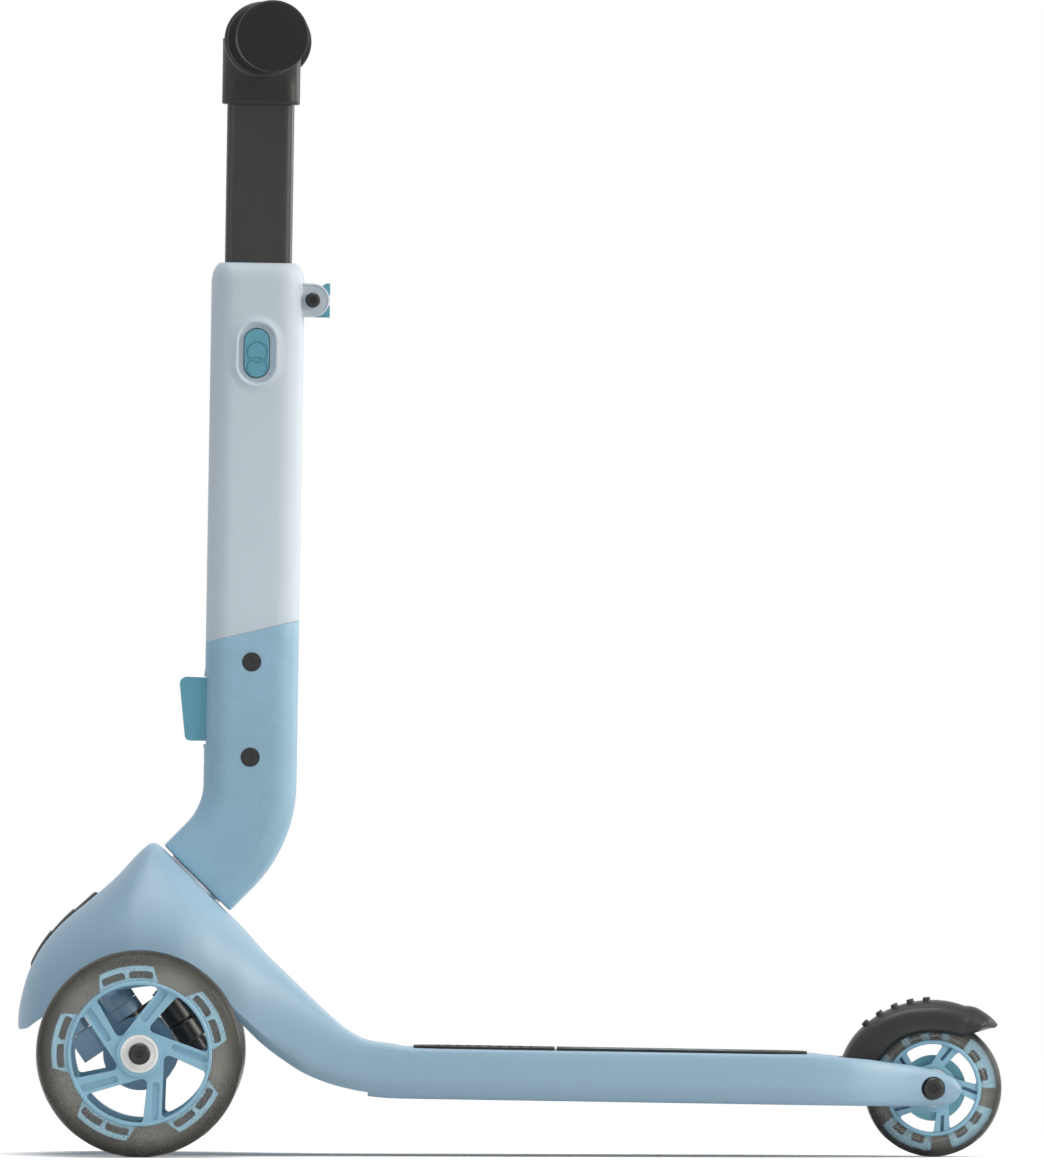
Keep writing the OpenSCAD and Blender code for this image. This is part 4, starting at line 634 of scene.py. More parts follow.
def body_rings(rows):
    """Rings of a moulded body. From the underside up: an arc that stops short of
    upright, which leaves a crease along the widest line, then a superellipse
    |x|^n + |z|^n = 1 up to the flat top, and the same mirrored."""
    u, low, top, half, flat, n, r = (rows[:, k, None] for k in range(7))
    stop = math.radians(55)
    a = np.linspace(0, stop, 8, endpoint=False)[None, :]
    x0 = half - r + r * np.sin(a) / math.sin(stop)
    z0 = low + r * (1 - np.cos(a)) / (1 - math.cos(stop))
    b = np.radians(np.linspace(0, 90, 24))[None, :]
    c, s = np.clip(np.cos(b), 0, 1), np.sin(b)
    x1 = flat + (half - flat) * c ** (2 / n)
    ridge = eased_ridge(u[:, 0], top[:, 0], s)
    z1 = low + r + (ridge - low - r) * s ** (2 / n)
    x, z = np.hstack([x0, x1]), np.hstack([z0, z1])
    ring = np.stack([u + 0 * x, x, z], -1)
    return np.concatenate([ring, ring[:, ::-1] * [1, -1, 1]], axis=1)


def hollow_rows(rows):
    """The same rows one wall further in, and open below. Where the nose slants to the
    front the wall is measured along u and downwards too, by its share of the reach."""
    front = np.clip(-rows[:, 0] / NOSE_REACH, 0, None)
    inner = rows.copy()
    inner[:, 0] += 1.5 * WALL * front
    inner[0, 0] += 0.2
    inner[:, 1] -= 40
    inner[:, 2] -= WALL + 1.2 * WALL * front
    inner[:, 3] -= WALL
    inner[:, 4] = np.maximum(6, inner[:, 4] - WALL)
    inner[:, 6] = 1
    return inner


def upright(u, y, w):
    """A frame with its third axis square to the deck."""
    return frame_at((u, y, w), (1, 0, 0), (0, 0, 1))


def across(u, y, w, outward=-1):
    """A frame whose third axis points to the near side, or to the far side."""
    return frame_at((u, y, w), (1, 0, 0), (0, outward, 0))


SWIVEL = frame_at((SWIVEL_U, 0, SWIVEL_W),
                  (math.cos(SWIVEL_SLOPE), 0, -math.sin(SWIVEL_SLOPE)), SWIVEL_AXIS)
RAKE = math.radians(35)
KINGPIN = (6.1, 67.0)
KINGPIN_R, TOWER_R, WEB_T, BOSS_R, BOSS_DEPTH = 4, 8.5, 6, 21, 24
# From and to, up the kingpin
TOWER_SPAN, PIN_SPAN, WEB_SPAN = (29, 53), (28, 49), (37, 49)
# The rear wheel's slot from and to along u, and its half width
WHEEL_SLOT = (405, 525, 17)
REAR_BORE_R, BOLT_SEAT_R, BOLT_SEAT_Y = 3.95, 6.9, 29.5
FENDER_HINGE, FENDER_BORE_R, FENDER_BORE_Y = (WHEELBASE - 49, -5.0), 2.5, 24
SWIVEL_BORE_R = 5
# A length that passes through anything here
THROUGH = 60


def at_kingpin(side):
    """A frame on a kingpin's line: first axis along the rake, third up the pin."""
    along, aside = KINGPIN
    x = np.array([math.cos(RAKE), 0, math.sin(RAKE)])
    z = np.array([-math.sin(RAKE), 0, math.cos(RAKE)])
    return frame_at(x * along + [0, side * aside, 0], x, z)


def drum(radius, low, high, where, segments=64):
    """A closed cylinder between two heights along the frame's third axis."""
    return turned([(0, low), (radius, low), (radius, high), (0, high)], segments, where)


def box_outline(x, y):
    """A rectangle of given sides about the origin."""
    return np.array([(-x, -y), (x, -y), (x, y), (-x, y)], float) / 2


def deck_pockets():
    """Pockets between the ribs under the deck."""
    first, last, lanes, rows, rib = 132.0, WHEELBASE - 66, 4, 7, 2.5
    inner = 2 * DECK_HALF - 2 * (LOW_CORNER + 1)
    du, dy = (last - first) / rows, inner / lanes
    outline = softened(box_outline(du - rib, dy - rib), 3.0)
    return joined(*[
        prism(outline, DECK_BOTTOM - 1, DECK_TOP - WALL,
              upright(first + (i + 0.5) * du, -inner / 2 + (j + 0.5) * dy, 0))
        for i in range(rows) for j in range(lanes)])


def kingpin_parts():
    """Over each kingpin: a tower, a web from it to the wall, and the pin's bore."""
    towers, webs, pins = [], [], []
    reach = NOSE_HALF - WALL / 2 - KINGPIN[1] - 0.5
    for side in (-1, 1):
        origin, axes = at_kingpin(side)
        towers.append(drum(TOWER_R, *TOWER_SPAN, (origin, axes)))
        pins.append(drum(KINGPIN_R, *PIN_SPAN, (origin, axes)))
        beside = (origin + [0, side * reach / 2, 0], axes)
        webs.append(prism(box_outline(WEB_T, reach), *WEB_SPAN, beside))
    return joined(*towers), joined(*webs), joined(*pins)


def fork_bores():
    """The rear axle's bore, a seat for its bolt at each side, and the fender's bore."""
    axle = (WHEELBASE, 0, -AXLE_DROP)
    seats = [drum(BOLT_SEAT_R, BOLT_SEAT_Y, THROUGH, across(*axle, side))
             for side in (-1, 1)]
    u, w = FENDER_HINGE
    return [drum(REAR_BORE_R, -THROUGH, THROUGH, across(*axle)), *seats,
            drum(FENDER_BORE_R, -FENDER_BORE_Y, FENDER_BORE_Y, across(u, 0, w))]


def rear_slot():
    """The fork's slot round the rear wheel."""
    first, last, half = WHEEL_SLOT
    outline = [(first, -half), (last, -half), (last, half), (first, half)]
    return prism(softened(outline, 4, 8), -THROUGH, THROUGH, upright(0, 0, 0))


class SCOOTER_OT_frame_body(bpy.types.Operator):
    """Nose, deck and fork as one moulding, hollow over the steering"""

    bl_idname = "scooter.frame_body"
    bl_label = "Moulded Frame"
    bl_options = {"REGISTER", "UNDO"}

    def execute(self, context):
        rows = body_stations()
        skin = shape_of(body_rings(fair(rows, 6)), ends=True)
        room = fair(hollow_rows(rows[HOLLOW_FIRST:HOLLOW_LAST + 1]), 6)
        hollow = shape_of(body_rings(room), ends=True)
        boss = drum(BOSS_R, -SWIVEL_GAP - BOSS_DEPTH, -SWIVEL_GAP, SWIVEL)
        towers, webs, pins = kingpin_parts()
        bores = [*fork_bores(), pins, drum(SWIVEL_BORE_R, -THROUGH, 0, SWIVEL)]
        piece = carved(new_object("frame_body", skin), [
            (CUT, hollow), (ADD, boss), (ADD, towers), (ADD, webs),
            (CUT, deck_pockets()), (CUT, rear_slot()), *[(CUT, bore) for bore in bores]])
        finished(piece, "frame", "Body Plastic", 28, ["frame_shell"])
        return {"FINISHED"}


# Along u, and half the width; then the panels' count, lower height and rise
STRIP_FROM, STRIP_TO, STRIP_HALF = -64.5, -26.8, 22.0
STRIP_PANELS, STRIP_LOW, STRIP_STEP = 3, 1.35, 0.7


def strip_skin():
    """The strip over the nose's top line. Each panel rises evenly. One minus the 12th
    power of the distance from the strip's middle rounds its sides, and one minus the
    40th power its ends."""
    rows = fair(body_stations(), 6)
    u = np.linspace(STRIP_FROM, STRIP_TO, 121)
    w = np.interp(u, rows[:, 0], rows[:, 2])
    line = np.stack([u, w], -1)
    t = np.linspace(0, STRIP_PANELS, len(u))
    panel = STRIP_LOW + STRIP_STEP * (t % 1) * (t < STRIP_PANELS)
    y = np.linspace(-1, 1, 45)[:, None]
    edge = np.clip(1 - np.abs(y) ** 12, 0, 1)
    end = np.clip(1 - np.abs(2 * t / STRIP_PANELS - 1) ** 40, 0, 1)
    rise = panel * (0.25 + 0.75 * edge * end)

    def sheet(height):
        """The strip's line carried sideways, each point at its own height."""
        flat = lifted(line, height)
        aside = np.broadcast_to(y * STRIP_HALF, height.shape)
        return np.dstack([flat[..., 0], aside, flat[..., 1]]).swapaxes(0, 1)

    return shell_between(sheet(rise), sheet(rise * 0 - 1))


class SCOOTER_OT_nose_strip(bpy.types.Operator):
    """Bare black strip over the nose, in three panels"""

    bl_idname = "scooter.nose_strip"
    bl_label = "Nose Strip"
    bl_options = {"REGISTER", "UNDO"}

    def execute(self, context):
        piece = new_object("nose_strip_skin", strip_skin())
        finished(piece, "frame", "Strip Plastic", 40, ["nose_strip"])
        return {"FINISHED"}


# Column, elbow and bar

COLUMN_U, COLUMN_DEPTH, COLUMN_W, COLUMN_R = 60.6, 54.0, 42.0, 14.0
COLUMN_TOP, SHOULDER_H, SEAM_W = 459.0, 12.0, 245.0
SEAM_TAN = math.tan(math.radians(14))
COLUMN_WALL, SPIGOT_LENGTH = 3.5, 68
TUBE_DEPTH, TUBE_W = 39.0, 28.0


def column_ring(inset):
    """The column's rounded outline, drawn in by an inset."""
    return rounded_ring(COLUMN_DEPTH - 2 * inset, COLUMN_W - 2 * inset,
                        max(2.0, COLUMN_R - inset))


def level_ring(ring, w):
    """A flat ring at a height, round the column's middle line."""
    heights = np.broadcast_to(w, len(ring))
    return np.column_stack([ring[:, 0] + COLUMN_U, ring[:, 1], heights])


def seam_ring(inset, rise=0.0):
    """A ring cut along the slanted seam."""
    ring = column_ring(inset)
    return level_ring(ring, SEAM_W + rise + ring[:, 0] * SEAM_TAN)


def column_tube(draw_in):
    """The pale sleeve as one closed skin: up the outside, over an elliptical shoulder,
    down the inside, and round the spigot that stands in the elbow."""
    spigot = COLUMN_WALL + 0.1
    foot = SEAM_W - SPIGOT_LENGTH
    bore = rounded_ring(TUBE_DEPTH + 0.6, TUBE_W + 0.6, 6.3)
    rings = [level_ring(column_ring(spigot), foot), seam_ring(spigot), seam_ring(0.35),
             seam_ring(0.1, 0.12), seam_ring(0, 0.4)]
    start = SEAM_W + 12
    rings += [level_ring(column_ring(0), w)
              for w in np.linspace(start, COLUMN_TOP - SHOULDER_H, 12)]
    for a in np.radians(np.linspace(6, 90, 15)):
        rings.append(level_ring(column_ring(draw_in * (1 - math.cos(a))),
                                COLUMN_TOP - SHOULDER_H + SHOULDER_H * math.sin(a)))
    wide = rounded_ring(TUBE_DEPTH + 1.4, TUBE_W + 1.4, 6.7)
    rings += [level_ring(wide, COLUMN_TOP), level_ring(bore, COLUMN_TOP - 0.5),
              level_ring(bore, foot)]
    return shape_of(np.stack(rings), closed_rows=True)


BUTTON = frame_at((COLUMN_U, -COLUMN_W / 2, 406.5), (0, 0, 1), (0, -1, 0))
BUTTON_RECESS, BUTTON_DEPTH = (36.0, 22.0), 3.2
LEVER_MIDDLE, LEVER_SPAN, LEVER_HALF = 199.5, 37.0, 13.0
WINDOW_W, WINDOW_DEPTH = 2 * LEVER_HALF + 0.7, 11.1
# How far a cutting shape stands out of the face that it cuts
CLEAR = 6
LEVER_FRONT = frame_at((COLUMN_U - COLUMN_DEPTH / 2, 0, LEVER_MIDDLE), (0, 0, 1),
                       (-1, 0, 0))


def face_drop(aside):
    """How far the column's side face has turned away at a distance from its middle."""
    past = np.clip(np.abs(aside) - (COLUMN_DEPTH / 2 - COLUMN_R), 0, COLUMN_R)
    return COLUMN_R - np.sqrt(COLUMN_R**2 - past**2)


def bezel(rise):
    """A ring round the button. Its section swells softly from the column's face to a
    ridge, falls to the recess, and goes down past the button."""
    line, out = stadium_ring(37.2, 23.2)
    # Distance outside the ridge line, and height over the column's face
    section = np.array([
        (6.0, -0.25), (4.4, 0.02), (3.2, 0.22), (2.2, 0.5), (1.5, 0.8), (1.0, 1.05),
        (0.6, 1.22), (0.2, 1.3), (-0.3, 1.27), (-0.7, 1.08), (-0.95, 0.7), (-1.05, 0.2),
        (-1.15, -0.3), (-1.3, -0.55), (-1.7, -0.65), (-4.0, -0.7), (-4.05, -0.9),
        (-4.1, -3.2), (-2.0, -3.2), (6.0, -3.2)])
    d, h = section[:, 0, None, None], section[:, 1]
    flat = line[None] + out[None] * d
    height = h[:, None] * np.where(h[:, None] > 0, rise / 1.3, 1) - face_drop(
        flat[..., 1]) * np.where(h[:, None] > -1, 1, 0)
    points = np.dstack([flat, height])
    return shape_of(placed(points, BUTTON), closed_rows=True)


CLIP = (COLUMN_U + COLUMN_DEPTH / 2 + 5, 437.8)
CLIP_HALF, EAR_R, EAR_T = 8.6, 9.8, 3.6


def clip_ear(side):
    """A round-ended plate with a raised rim and a dished face. Its rings are the outline
    drawn in towards the bolt by a share, each at its own height."""
    a = np.radians(np.linspace(-90, 90, 33))
    round_end = np.stack([np.cos(a), np.sin(a)], -1) * EAR_R
    root = np.array([(-4.0, EAR_R), (-9.5, EAR_R + 0.6), (-9.5, 0), (-9.5, -EAR_R - 0.6),
                     (-4.0, -EAR_R)])
    outline = np.vstack([round_end, root])
    # Share of the outline, and depth below the face
    levels = [(0.0, EAR_T), (1.0, EAR_T), (1.0, 0.7), (0.985, 0.25), (0.95, 0),
              (0.90, 0), (0.865, 0.2), (0.84, 0.55), (0.6, 0.65), (0.48, 0.8),
              (0.42, 0.6), (0.3, 0.6), (0.0, 0.6)]
    rings = np.stack([np.column_stack([outline * k, np.full(len(outline), EAR_T - deep)])
                      for k, deep in levels])
    where = across(CLIP[0], side * (CLIP_HALF + 0.3), CLIP[1], side)
    return shape_of(placed(rings, where))


class SCOOTER_OT_column(bpy.types.Operator):
    """Pale upper column with its shoulder, button bezel and clip ears"""

    bl_idname = "scooter.column"
    bl_label = "Column"
    bl_options = {"REGISTER", "UNDO"}

    def execute(self, context):
        sizes = context.scene.scooter_sizes
        tube = new_object("column_skin", column_tube(sizes.lip_round / MM))
        recess = stadium_ring(*BUTTON_RECESS)[0]
        window = box_outline(LEVER_SPAN + 7.6, WINDOW_W) + [1.7, 0]
        arm_way = box_outline(60, 10) - [5.5, 0]
        carved(tube, [(CUT, prism(recess, -BUTTON_DEPTH, CLEAR, BUTTON)),
                      (CUT, prism(window, -WINDOW_DEPTH, CLEAR, LEVER_FRONT)),
                      (CUT, prism(arm_way, -12, 5, LEVER_FRONT))])
        finished(tube, "column", "Column Plastic", 32,
                 ["column_sleeve"])
        ring = new_object("button_bezel", bezel(sizes.bezel_rise / MM))
        finished(ring, "column", "Column Plastic", 60)
        ears = new_object("clip_ears", joined(clip_ear(-1), clip_ear(1)))
        finished(ears, "column", "Column Plastic", 40)
        return {"FINISHED"}


def swivel_ring(inset, s):
    """The column's outline square to the swivel axis, at a distance along it."""
    ring = column_ring(inset)
    return placed(np.column_stack([ring, np.full(len(ring), s)]), SWIVEL)


def elbow_rings(inset, foot):
    """The column's outline carried along the swivel axis, round an arc of 44 degrees and
    up to the seam. Each ring stands square to that path."""
    ring = column_ring(inset)
    rings = [swivel_ring(inset, s) for s in np.linspace(foot, ELBOW_TAIL, 5)]
    for a in np.linspace(-SWIVEL_SLOPE, 0, 34)[1:]:
        out = np.array([math.cos(a), 0, math.sin(a)])
        middle_line = out * BEND_R + [0, 0, BEND_W]
        rings.append(middle_line + ring[:, :1] * out + ring[:, 1:] * [0, 1, 0])
    for t in np.linspace(0, 1, 9)[1:]:
        top = SEAM_W + ring[:, 0] * SEAM_TAN
        rings.append(level_ring(ring, BEND_W * (1 - t) + (top - 0.4) * t))
    return rings


COLLAR_DEPTH, COLLAR_RISE, COLLAR_MARGIN = 8.5, 0.6, 5.0
COLUMN_BOLTS, BOLT_RECESS_R = (227.3, 172.0), 5.5
# The lever's own pin: its place, radius and half length
LEVER_PIN, LEVER_PIN_R, LEVER_PIN_HALF = (37.8, 0, 212.5), 1.5, 15.4


def lever_collar():
    """A band round the front of the column. Its height is the product of one minus the
    10th power of the distance sideways and one minus the 14th power of that upwards."""
    ring = column_ring(0)
    front = ring[ring[:, 0] < COLUMN_DEPTH / -2 + COLLAR_DEPTH]
    line = front[np.argsort(front[:, 1])]
    y = line[:, 1] / np.abs(line[:, 1]).max()
    z = np.linspace(-1, 1, 41)[:, None]
    rise = COLLAR_RISE * np.clip(1 - np.abs(y) ** 10, 0, 1) * np.clip(
        1 - np.abs(z) ** 14, 0, 1)
    w = LEVER_MIDDLE + (LEVER_SPAN / 2 + COLLAR_MARGIN) * z

    def sheet(height):
        """The front's line carried up the column, each point at its own height."""
        flat = lifted(line, height)
        return np.dstack([flat[..., 0] + COLUMN_U, flat[..., 1],
                          np.broadcast_to(w, height.shape)])

    return shell_between(sheet(rise + 0.02), sheet(rise * 0 - 2.0))


class SCOOTER_OT_elbow(bpy.types.Operator):
    """Bent lower column, with the lever's window and the bolts' recesses"""

    bl_idname = "scooter.elbow"
    bl_label = "Elbow"
    bl_options = {"REGISTER", "UNDO"}

    def execute(self, context):
        foot = [swivel_ring(*at) for at in ((1.2, 0.0), (0.5, 0.25), (0.1, 0.8))]
        outer = elbow_rings(0, 1.5)
        lip = [seam_ring(0.1, -0.1), seam_ring(0.4, 0), seam_ring(COLUMN_WALL, 0)]
        inner = elbow_rings(COLUMN_WALL, 8)[::-1]
        skin = shape_of(np.stack([drawn_to_point(foot[0]), *foot, *outer, *lip, *inner,
                                  drawn_to_point(inner[-1])]))
        window = box_outline(LEVER_SPAN + 2.4, WINDOW_W) - [0.9, 0]
        recesses = [drum(BOLT_RECESS_R, COLUMN_W / 2 - 1.4, 40,
                         across(COLUMN_U, 0, w, side))
                    for w in COLUMN_BOLTS for side in (-1, 1)]
        piece = carved(new_object("elbow_skin", skin), [
            (ADD, lever_collar()),
            (CUT, prism(window, -WINDOW_DEPTH, CLEAR, LEVER_FRONT)),
            *[(CUT, recess) for recess in recesses],
            (CUT, drum(SWIVEL_BORE_R + 0.05, -5, 30, SWIVEL))])
        finished(piece, "column", "Elbow Plastic", 32, ["elbow"])
        pin = new_object("lever_hinge_pin", drum(
            LEVER_PIN_R, -LEVER_PIN_HALF, LEVER_PIN_HALF, across(*LEVER_PIN), 32))
        finished(pin, "column", "Plain Steel", 40, ["lever_pin"])
        return {"FINISHED"}


BAR_U, BAR_W, BAR_CORE_R, JUNCTION_LOW, JUNCTION_R = 61.2, 588.2, 11, 551.0, 22.3
BAR = across(BAR_U, 0, BAR_W, 1)


def junction_barrel():
    """The tee's barrel round the bar: its flange, step and lip, and the same mirrored."""
    r = JUNCTION_R
    half = [(r, 28.8), (r - 0.9, 30.2), (r - 2.4, 30.6), (r - 2.6, 33), (BAR_CORE_R, 33)]
    profile = [(x, -y) for x, y in half[::-1]] + half
    return turned(softened(profile, 0.8, 3), 96, BAR)


def junction_neck():
    """The tee's sleeve over the tube. It flares sideways into the barrel: its half width
    grows with the square of the height past the sleeve."""
    depth, width, corner = 45.2, 34, 8
    rings = []
    for rise, draw in ((1.2, 3.2), (0, 2.9), (0, 1.0), (0.3, 0.3), (1.0, 0.0)):
        ring = rounded_ring(depth - 2 * draw, width - 2 * draw, corner - draw)
        rings.append(level_ring(ring, JUNCTION_LOW + rise))
    for t in np.linspace(0, 1, 20)[1:]:
        flare = 11.5 * max(0.0, (t - 0.25) / 0.75) ** 2
        ring = rounded_ring(depth, width + 2 * flare, corner + 5 * t)
        rings.append(level_ring(ring, JUNCTION_LOW + 1 + 37 * t))
    return shape_of(np.stack([drawn_to_point(rings[0]), *rings,
                              drawn_to_point(rings[-1])]))


class SCOOTER_OT_bar_junction(bpy.types.Operator):
    """Black tee that joins the tube and the handlebar"""

    bl_idname = "scooter.bar_junction"
    bl_label = "Bar Junction"
    bl_options = {"REGISTER", "UNDO"}

    def execute(self, context):
        socket = prism(rounded_ring(TUBE_DEPTH, TUBE_W, 6), JUNCTION_LOW - 5, BAR_W,
                       upright(COLUMN_U, 0, 0))
        piece = carved(new_object("bar_tee", junction_neck()), [
            (ADD, junction_barrel()), (CUT, socket),
            (CUT, drum(BAR_CORE_R, -THROUGH, THROUGH, BAR))])
        finished(piece, "bar", "Bar Plastic", 30, ["bar_junction"])
        return {"FINISHED"}


SWEEP, RISE, BEND_Y, BEND_BAR_R, GRIP_HALF = 3.7, 0.6, 34.0, 60.0, 140.0


def bar_end(side):
    """The frame at the start of a grip, with its third axis along it."""
    a, b = math.radians(SWEEP), math.radians(RISE)
    x0, y0 = BAR_U + BEND_BAR_R * (1 - math.cos(a)), BEND_Y + BEND_BAR_R * math.sin(a)
    along = np.array([math.sin(a) * math.cos(b), math.cos(a) * math.cos(b), math.sin(b)])
    along[1] *= side
    length = (GRIP_HALF - y0) / math.cos(a)
    return frame_at((x0, side * y0, BAR_W), np.cross(along, (0, 0, 1)), along), length


def grip_profile(end, ribs, rib):
    """Outside of a grip: a flange, a ribbed sleeve whose radius is a raised cosine for
    each rib, and an end disc with a soft edge."""
    # Radius of the discs and of the sleeve, then the sleeve's first and last height
    disc, r = 20.9, 15.6
    first, last = 10.0, end - 12.0
    h = np.linspace(first, last, ribs * 10 + 1)
    wave = 0.5 - 0.5 * np.cos(2 * np.pi * (h - first) / (last - first) * ribs)
    sleeve = np.column_stack([r + rib * np.sqrt(wave), h])
    inner = [(BAR_CORE_R, 0.8), (disc - 1.6, 0.8), (disc - 0.7, 1.1),
             (disc - 0.3, 1.9), (disc - 0.3, 4.2), (disc - 0.7, 5.0), (disc - 1.7, 5.4),
             (r + 2.2, 5.6), (r + 0.8, 6.4), (r, 8.0)]
    outer = [(r + 0.3, end - 10.5), (r + 1.6, end - 8.6), (disc - 1.8, end - 7.4),
             (disc - 0.5, end - 6.8), (disc, end - 5.8), (disc, end - 1.7),
             (disc - 0.15, end - 1.0), (disc - 0.6, end - 0.45), (disc - 1.2, end - 0.12),
             (disc - 1.9, end), (disc - 2.2, end - 0.12), (disc - 2.5, end - 0.02),
             (disc - 3.2, end + 0.05), (8, end + 0.25), (0, end + 0.3), (0, end - 5),
             (BAR_CORE_R, end - 5)]
    return np.vstack([inner, sleeve, outer])


class SCOOTER_OT_grips(bpy.types.Operator):
    """Ribbed rubber grips with flanges and closed ends"""

    bl_idname = "scooter.grips"
    bl_label = "Grips"
    bl_options = {"REGISTER", "UNDO"}

    def execute(self, context):
        sizes = context.scene.scooter_sizes
        for name, side in (("grip_left", -1), ("grip_right", 1)):
            where, length = bar_end(side)
            profile = grip_profile(length, sizes.grip_ribs, sizes.grip_rib / MM)
            piece = new_object("ribbed_" + name, turned(profile, 96, where))
            finished(piece, "bar", "Grip Rubber", 42, [name])
        return {"FINISHED"}


# Wheels


def wheel_frame(name):
    """A wheel's frame: its middle in the deck's frame, third axis to its outer face."""
    if name == "rear":
        return across(WHEELBASE, 0, -AXLE_DROP)
    side = -1 if name == "left" else 1
    return frame_at((0, side * TRACK / 2, 0), (-side, 0, 0), (0, side, 0))


def tyre_profile(rim, outer, width):
    """Bead, flat shoulder and crown of a tyre. The crown is half a superellipse of
    exponent 2.3 from one shoulder to the other."""
    half, power = width / 2, 2 / 2.3
    shoulder = outer - 0.42 * width
    a = np.radians(np.linspace(-88, 88, 41))
    c, s = np.cos(a), np.sin(a)
    crown = np.column_stack([shoulder + (outer - shoulder) * c**power,
                             half * np.sign(s) * np.abs(s) ** power])
    bead = [(rim, -half + 1.0), (rim + 0.5, -half + 0.55), (rim + 1.2, -half + 0.35),
            (rim + 3.0, -half + 0.3), ((rim + shoulder) / 2 + 1, -half + 0.1)]
    other = [(r, -h) for r, h in bead[::-1]]
    return np.vstack([bead, crown, other])


def shade_sheet_profile(rim, outer):
    """A thin disc in the tyre's middle plane: a sheet of painted shade, seen deep in the
    smoky rubber between and behind the pads."""
    r = np.linspace(rim + 0.3, outer - 1.6, 12)
    return np.vstack([np.column_stack([r, 0 * r - SHADE_SHEET_T / 2]),
                      np.column_stack([r[::-1], 0 * r + SHADE_SHEET_T / 2])])


def mark_outwards(mesh, hub, rim, outer):
    """Gives each vertex its share of the way from the rim to the tread."""
    points = np.zeros(3 * len(mesh.vertices))
    mesh.vertices.foreach_get("co", points)
    away = np.linalg.norm((points.reshape(-1, 3) - hub)[:, [0, 2]], axis=1) / MM
    outwards = mesh.attributes.new("outwards", "FLOAT", "POINT")
    outwards.data.foreach_set("value", (away - rim) / (outer - rim))


# Each wheel's rim radius and the body that turns it
WHEELS = {"left": (42.0, "wheel_left"), "right": (42.0, "wheel_right"),
          "rear": (28.0, "wheel_rear")}
TYRE_W, TYRE_SIDES, SHADE_SHEET_T = 24.0, 160, 1.0


class SCOOTER_OT_tyres(bpy.types.Operator):
    """Smoky see-through tyres cast over the hubs' pads, each with a sheet of painted
    shade inside
    """

    bl_idname = "scooter.tyres"
    bl_label = "Tyres"
    bl_options = {"REGISTER", "UNDO"}

    def execute(self, context):
        for name, (rim, body) in WHEELS.items():
            outer = REAR_R if name == "rear" else FRONT_R
            where = wheel_frame(name)
            skin = turned(tyre_profile(rim - 0.02, outer, TYRE_W), TYRE_SIDES, where)
            disc = turned(shade_sheet_profile(rim, outer), TYRE_SIDES, where)
            piece = new_object("cast_tyre_" + name, skin)
            # The disc is a sheet of painted shade inside the tyre
            depth = new_object("tyre_shade_sheet_" + name, disc)
            finished(depth, body, "Painted Tyre Shade", 40)
            for rubber in (piece, depth):
                mark_outwards(rubber.data, to_row(where[0]), rim, outer)
            finished(piece, body, "Smoky Tyre", 60, ["tyre_" + name])
        return {"FINISHED"}


# Brake fender

# Angle round the rear axle, then heights over the tyre of the crown, the shoulder, the
# skirt's crease and its edge, and the share of the half width
FENDER_ROWS = [
    (45, 12.7, 12.0, 11.2, 10.8, 0.52), (48, 13.1, 11.2, 9.2, 8.4, 0.66),
    (54, 13.3, 9.0, 4.0, 1.8, 0.97), (62, 13.1, 7.4, 0.8, -4.0, 0.96),
    (66, 12.4, 7.0, 0.4, -4.8, 0.99), (71, 11.2, 7.0, 0.5, -5.4, 1),
    (82, 11.2, 7.1, 0.8, -6.0, 1), (95, 11.2, 7.3, 1.0, -6.1, 1),
    (110, 11.8, 8.3, 1.3, -5.6, 1), (125, 12.8, 9.9, 1.5, -4.8, 1),
    (138, 14.0, 11.3, 2.0, -4.4, 1), (148, 15.0, 12.2, 2.5, -4.1, 1),
    (157, 15.5, 13.0, 3.4, -3.0, 1), (164, 15.8, 13.5, 4.5, -1.5, 1)]
FENDER_HALF, FENDER_T, CROWN_SHARE, CROWN_POWER = 16.2, 2.6, 0.78, 3.2
STUD_ANGLES, STUD_Y = (137, 126.5, 116, 105.5, 95), (-6.5, 0, 6.5)


def fender_half_section(rows, thick):
    """Half of the fender's section, from the crown to the skirt's edge: a crown that
    falls with a power of the width, a bowed shoulder, and an upright skirt."""
    crown, shoulder, crease, edge, share = (rows[:, k, None] for k in range(1, 6))
    half = FENDER_HALF * share
    t = np.linspace(0, 1, 12)[None, :]
    s = np.linspace(0, 1, 10)[None, 1:]
    q = np.array([[0.5, 0.93, 1.0]])
    bow = math.radians(68)
    lean = 0.72 * (1 - np.cos(bow * s)) / (1 - math.cos(bow)) + 0.28 * s
    y = np.hstack([CROWN_SHARE * t, CROWN_SHARE + (1 - CROWN_SHARE) * np.sin(bow * s)
                   / math.sin(bow), 1 - 0.01 * q - 0.02 * (q > 0.95)]) * half
    h = np.hstack([crown - (crown - shoulder) * t**CROWN_POWER,
                   shoulder + (crease - shoulder) * lean, crease + (edge - crease) * q])
    if thick:
        thin = np.minimum(thick, 0.8 * (crown - edge) / 2 + 0.2)
        y = np.clip(y - thin * (y / half) ** 3, 0, None)
        h = h - thin * np.clip(1 - (y / half) ** 6, 0, 1)
    return y, h


def round_axle(angles, y, h):
    """Points by their angle and height over the tyre, in the deck's frame."""
    a = np.radians(angles)
    r = REAR_R + h
    along, up = WHEELBASE + r * np.cos(a), -AXLE_DROP + r * np.sin(a)
    return np.stack([along, y + 0 * r, up], -1)


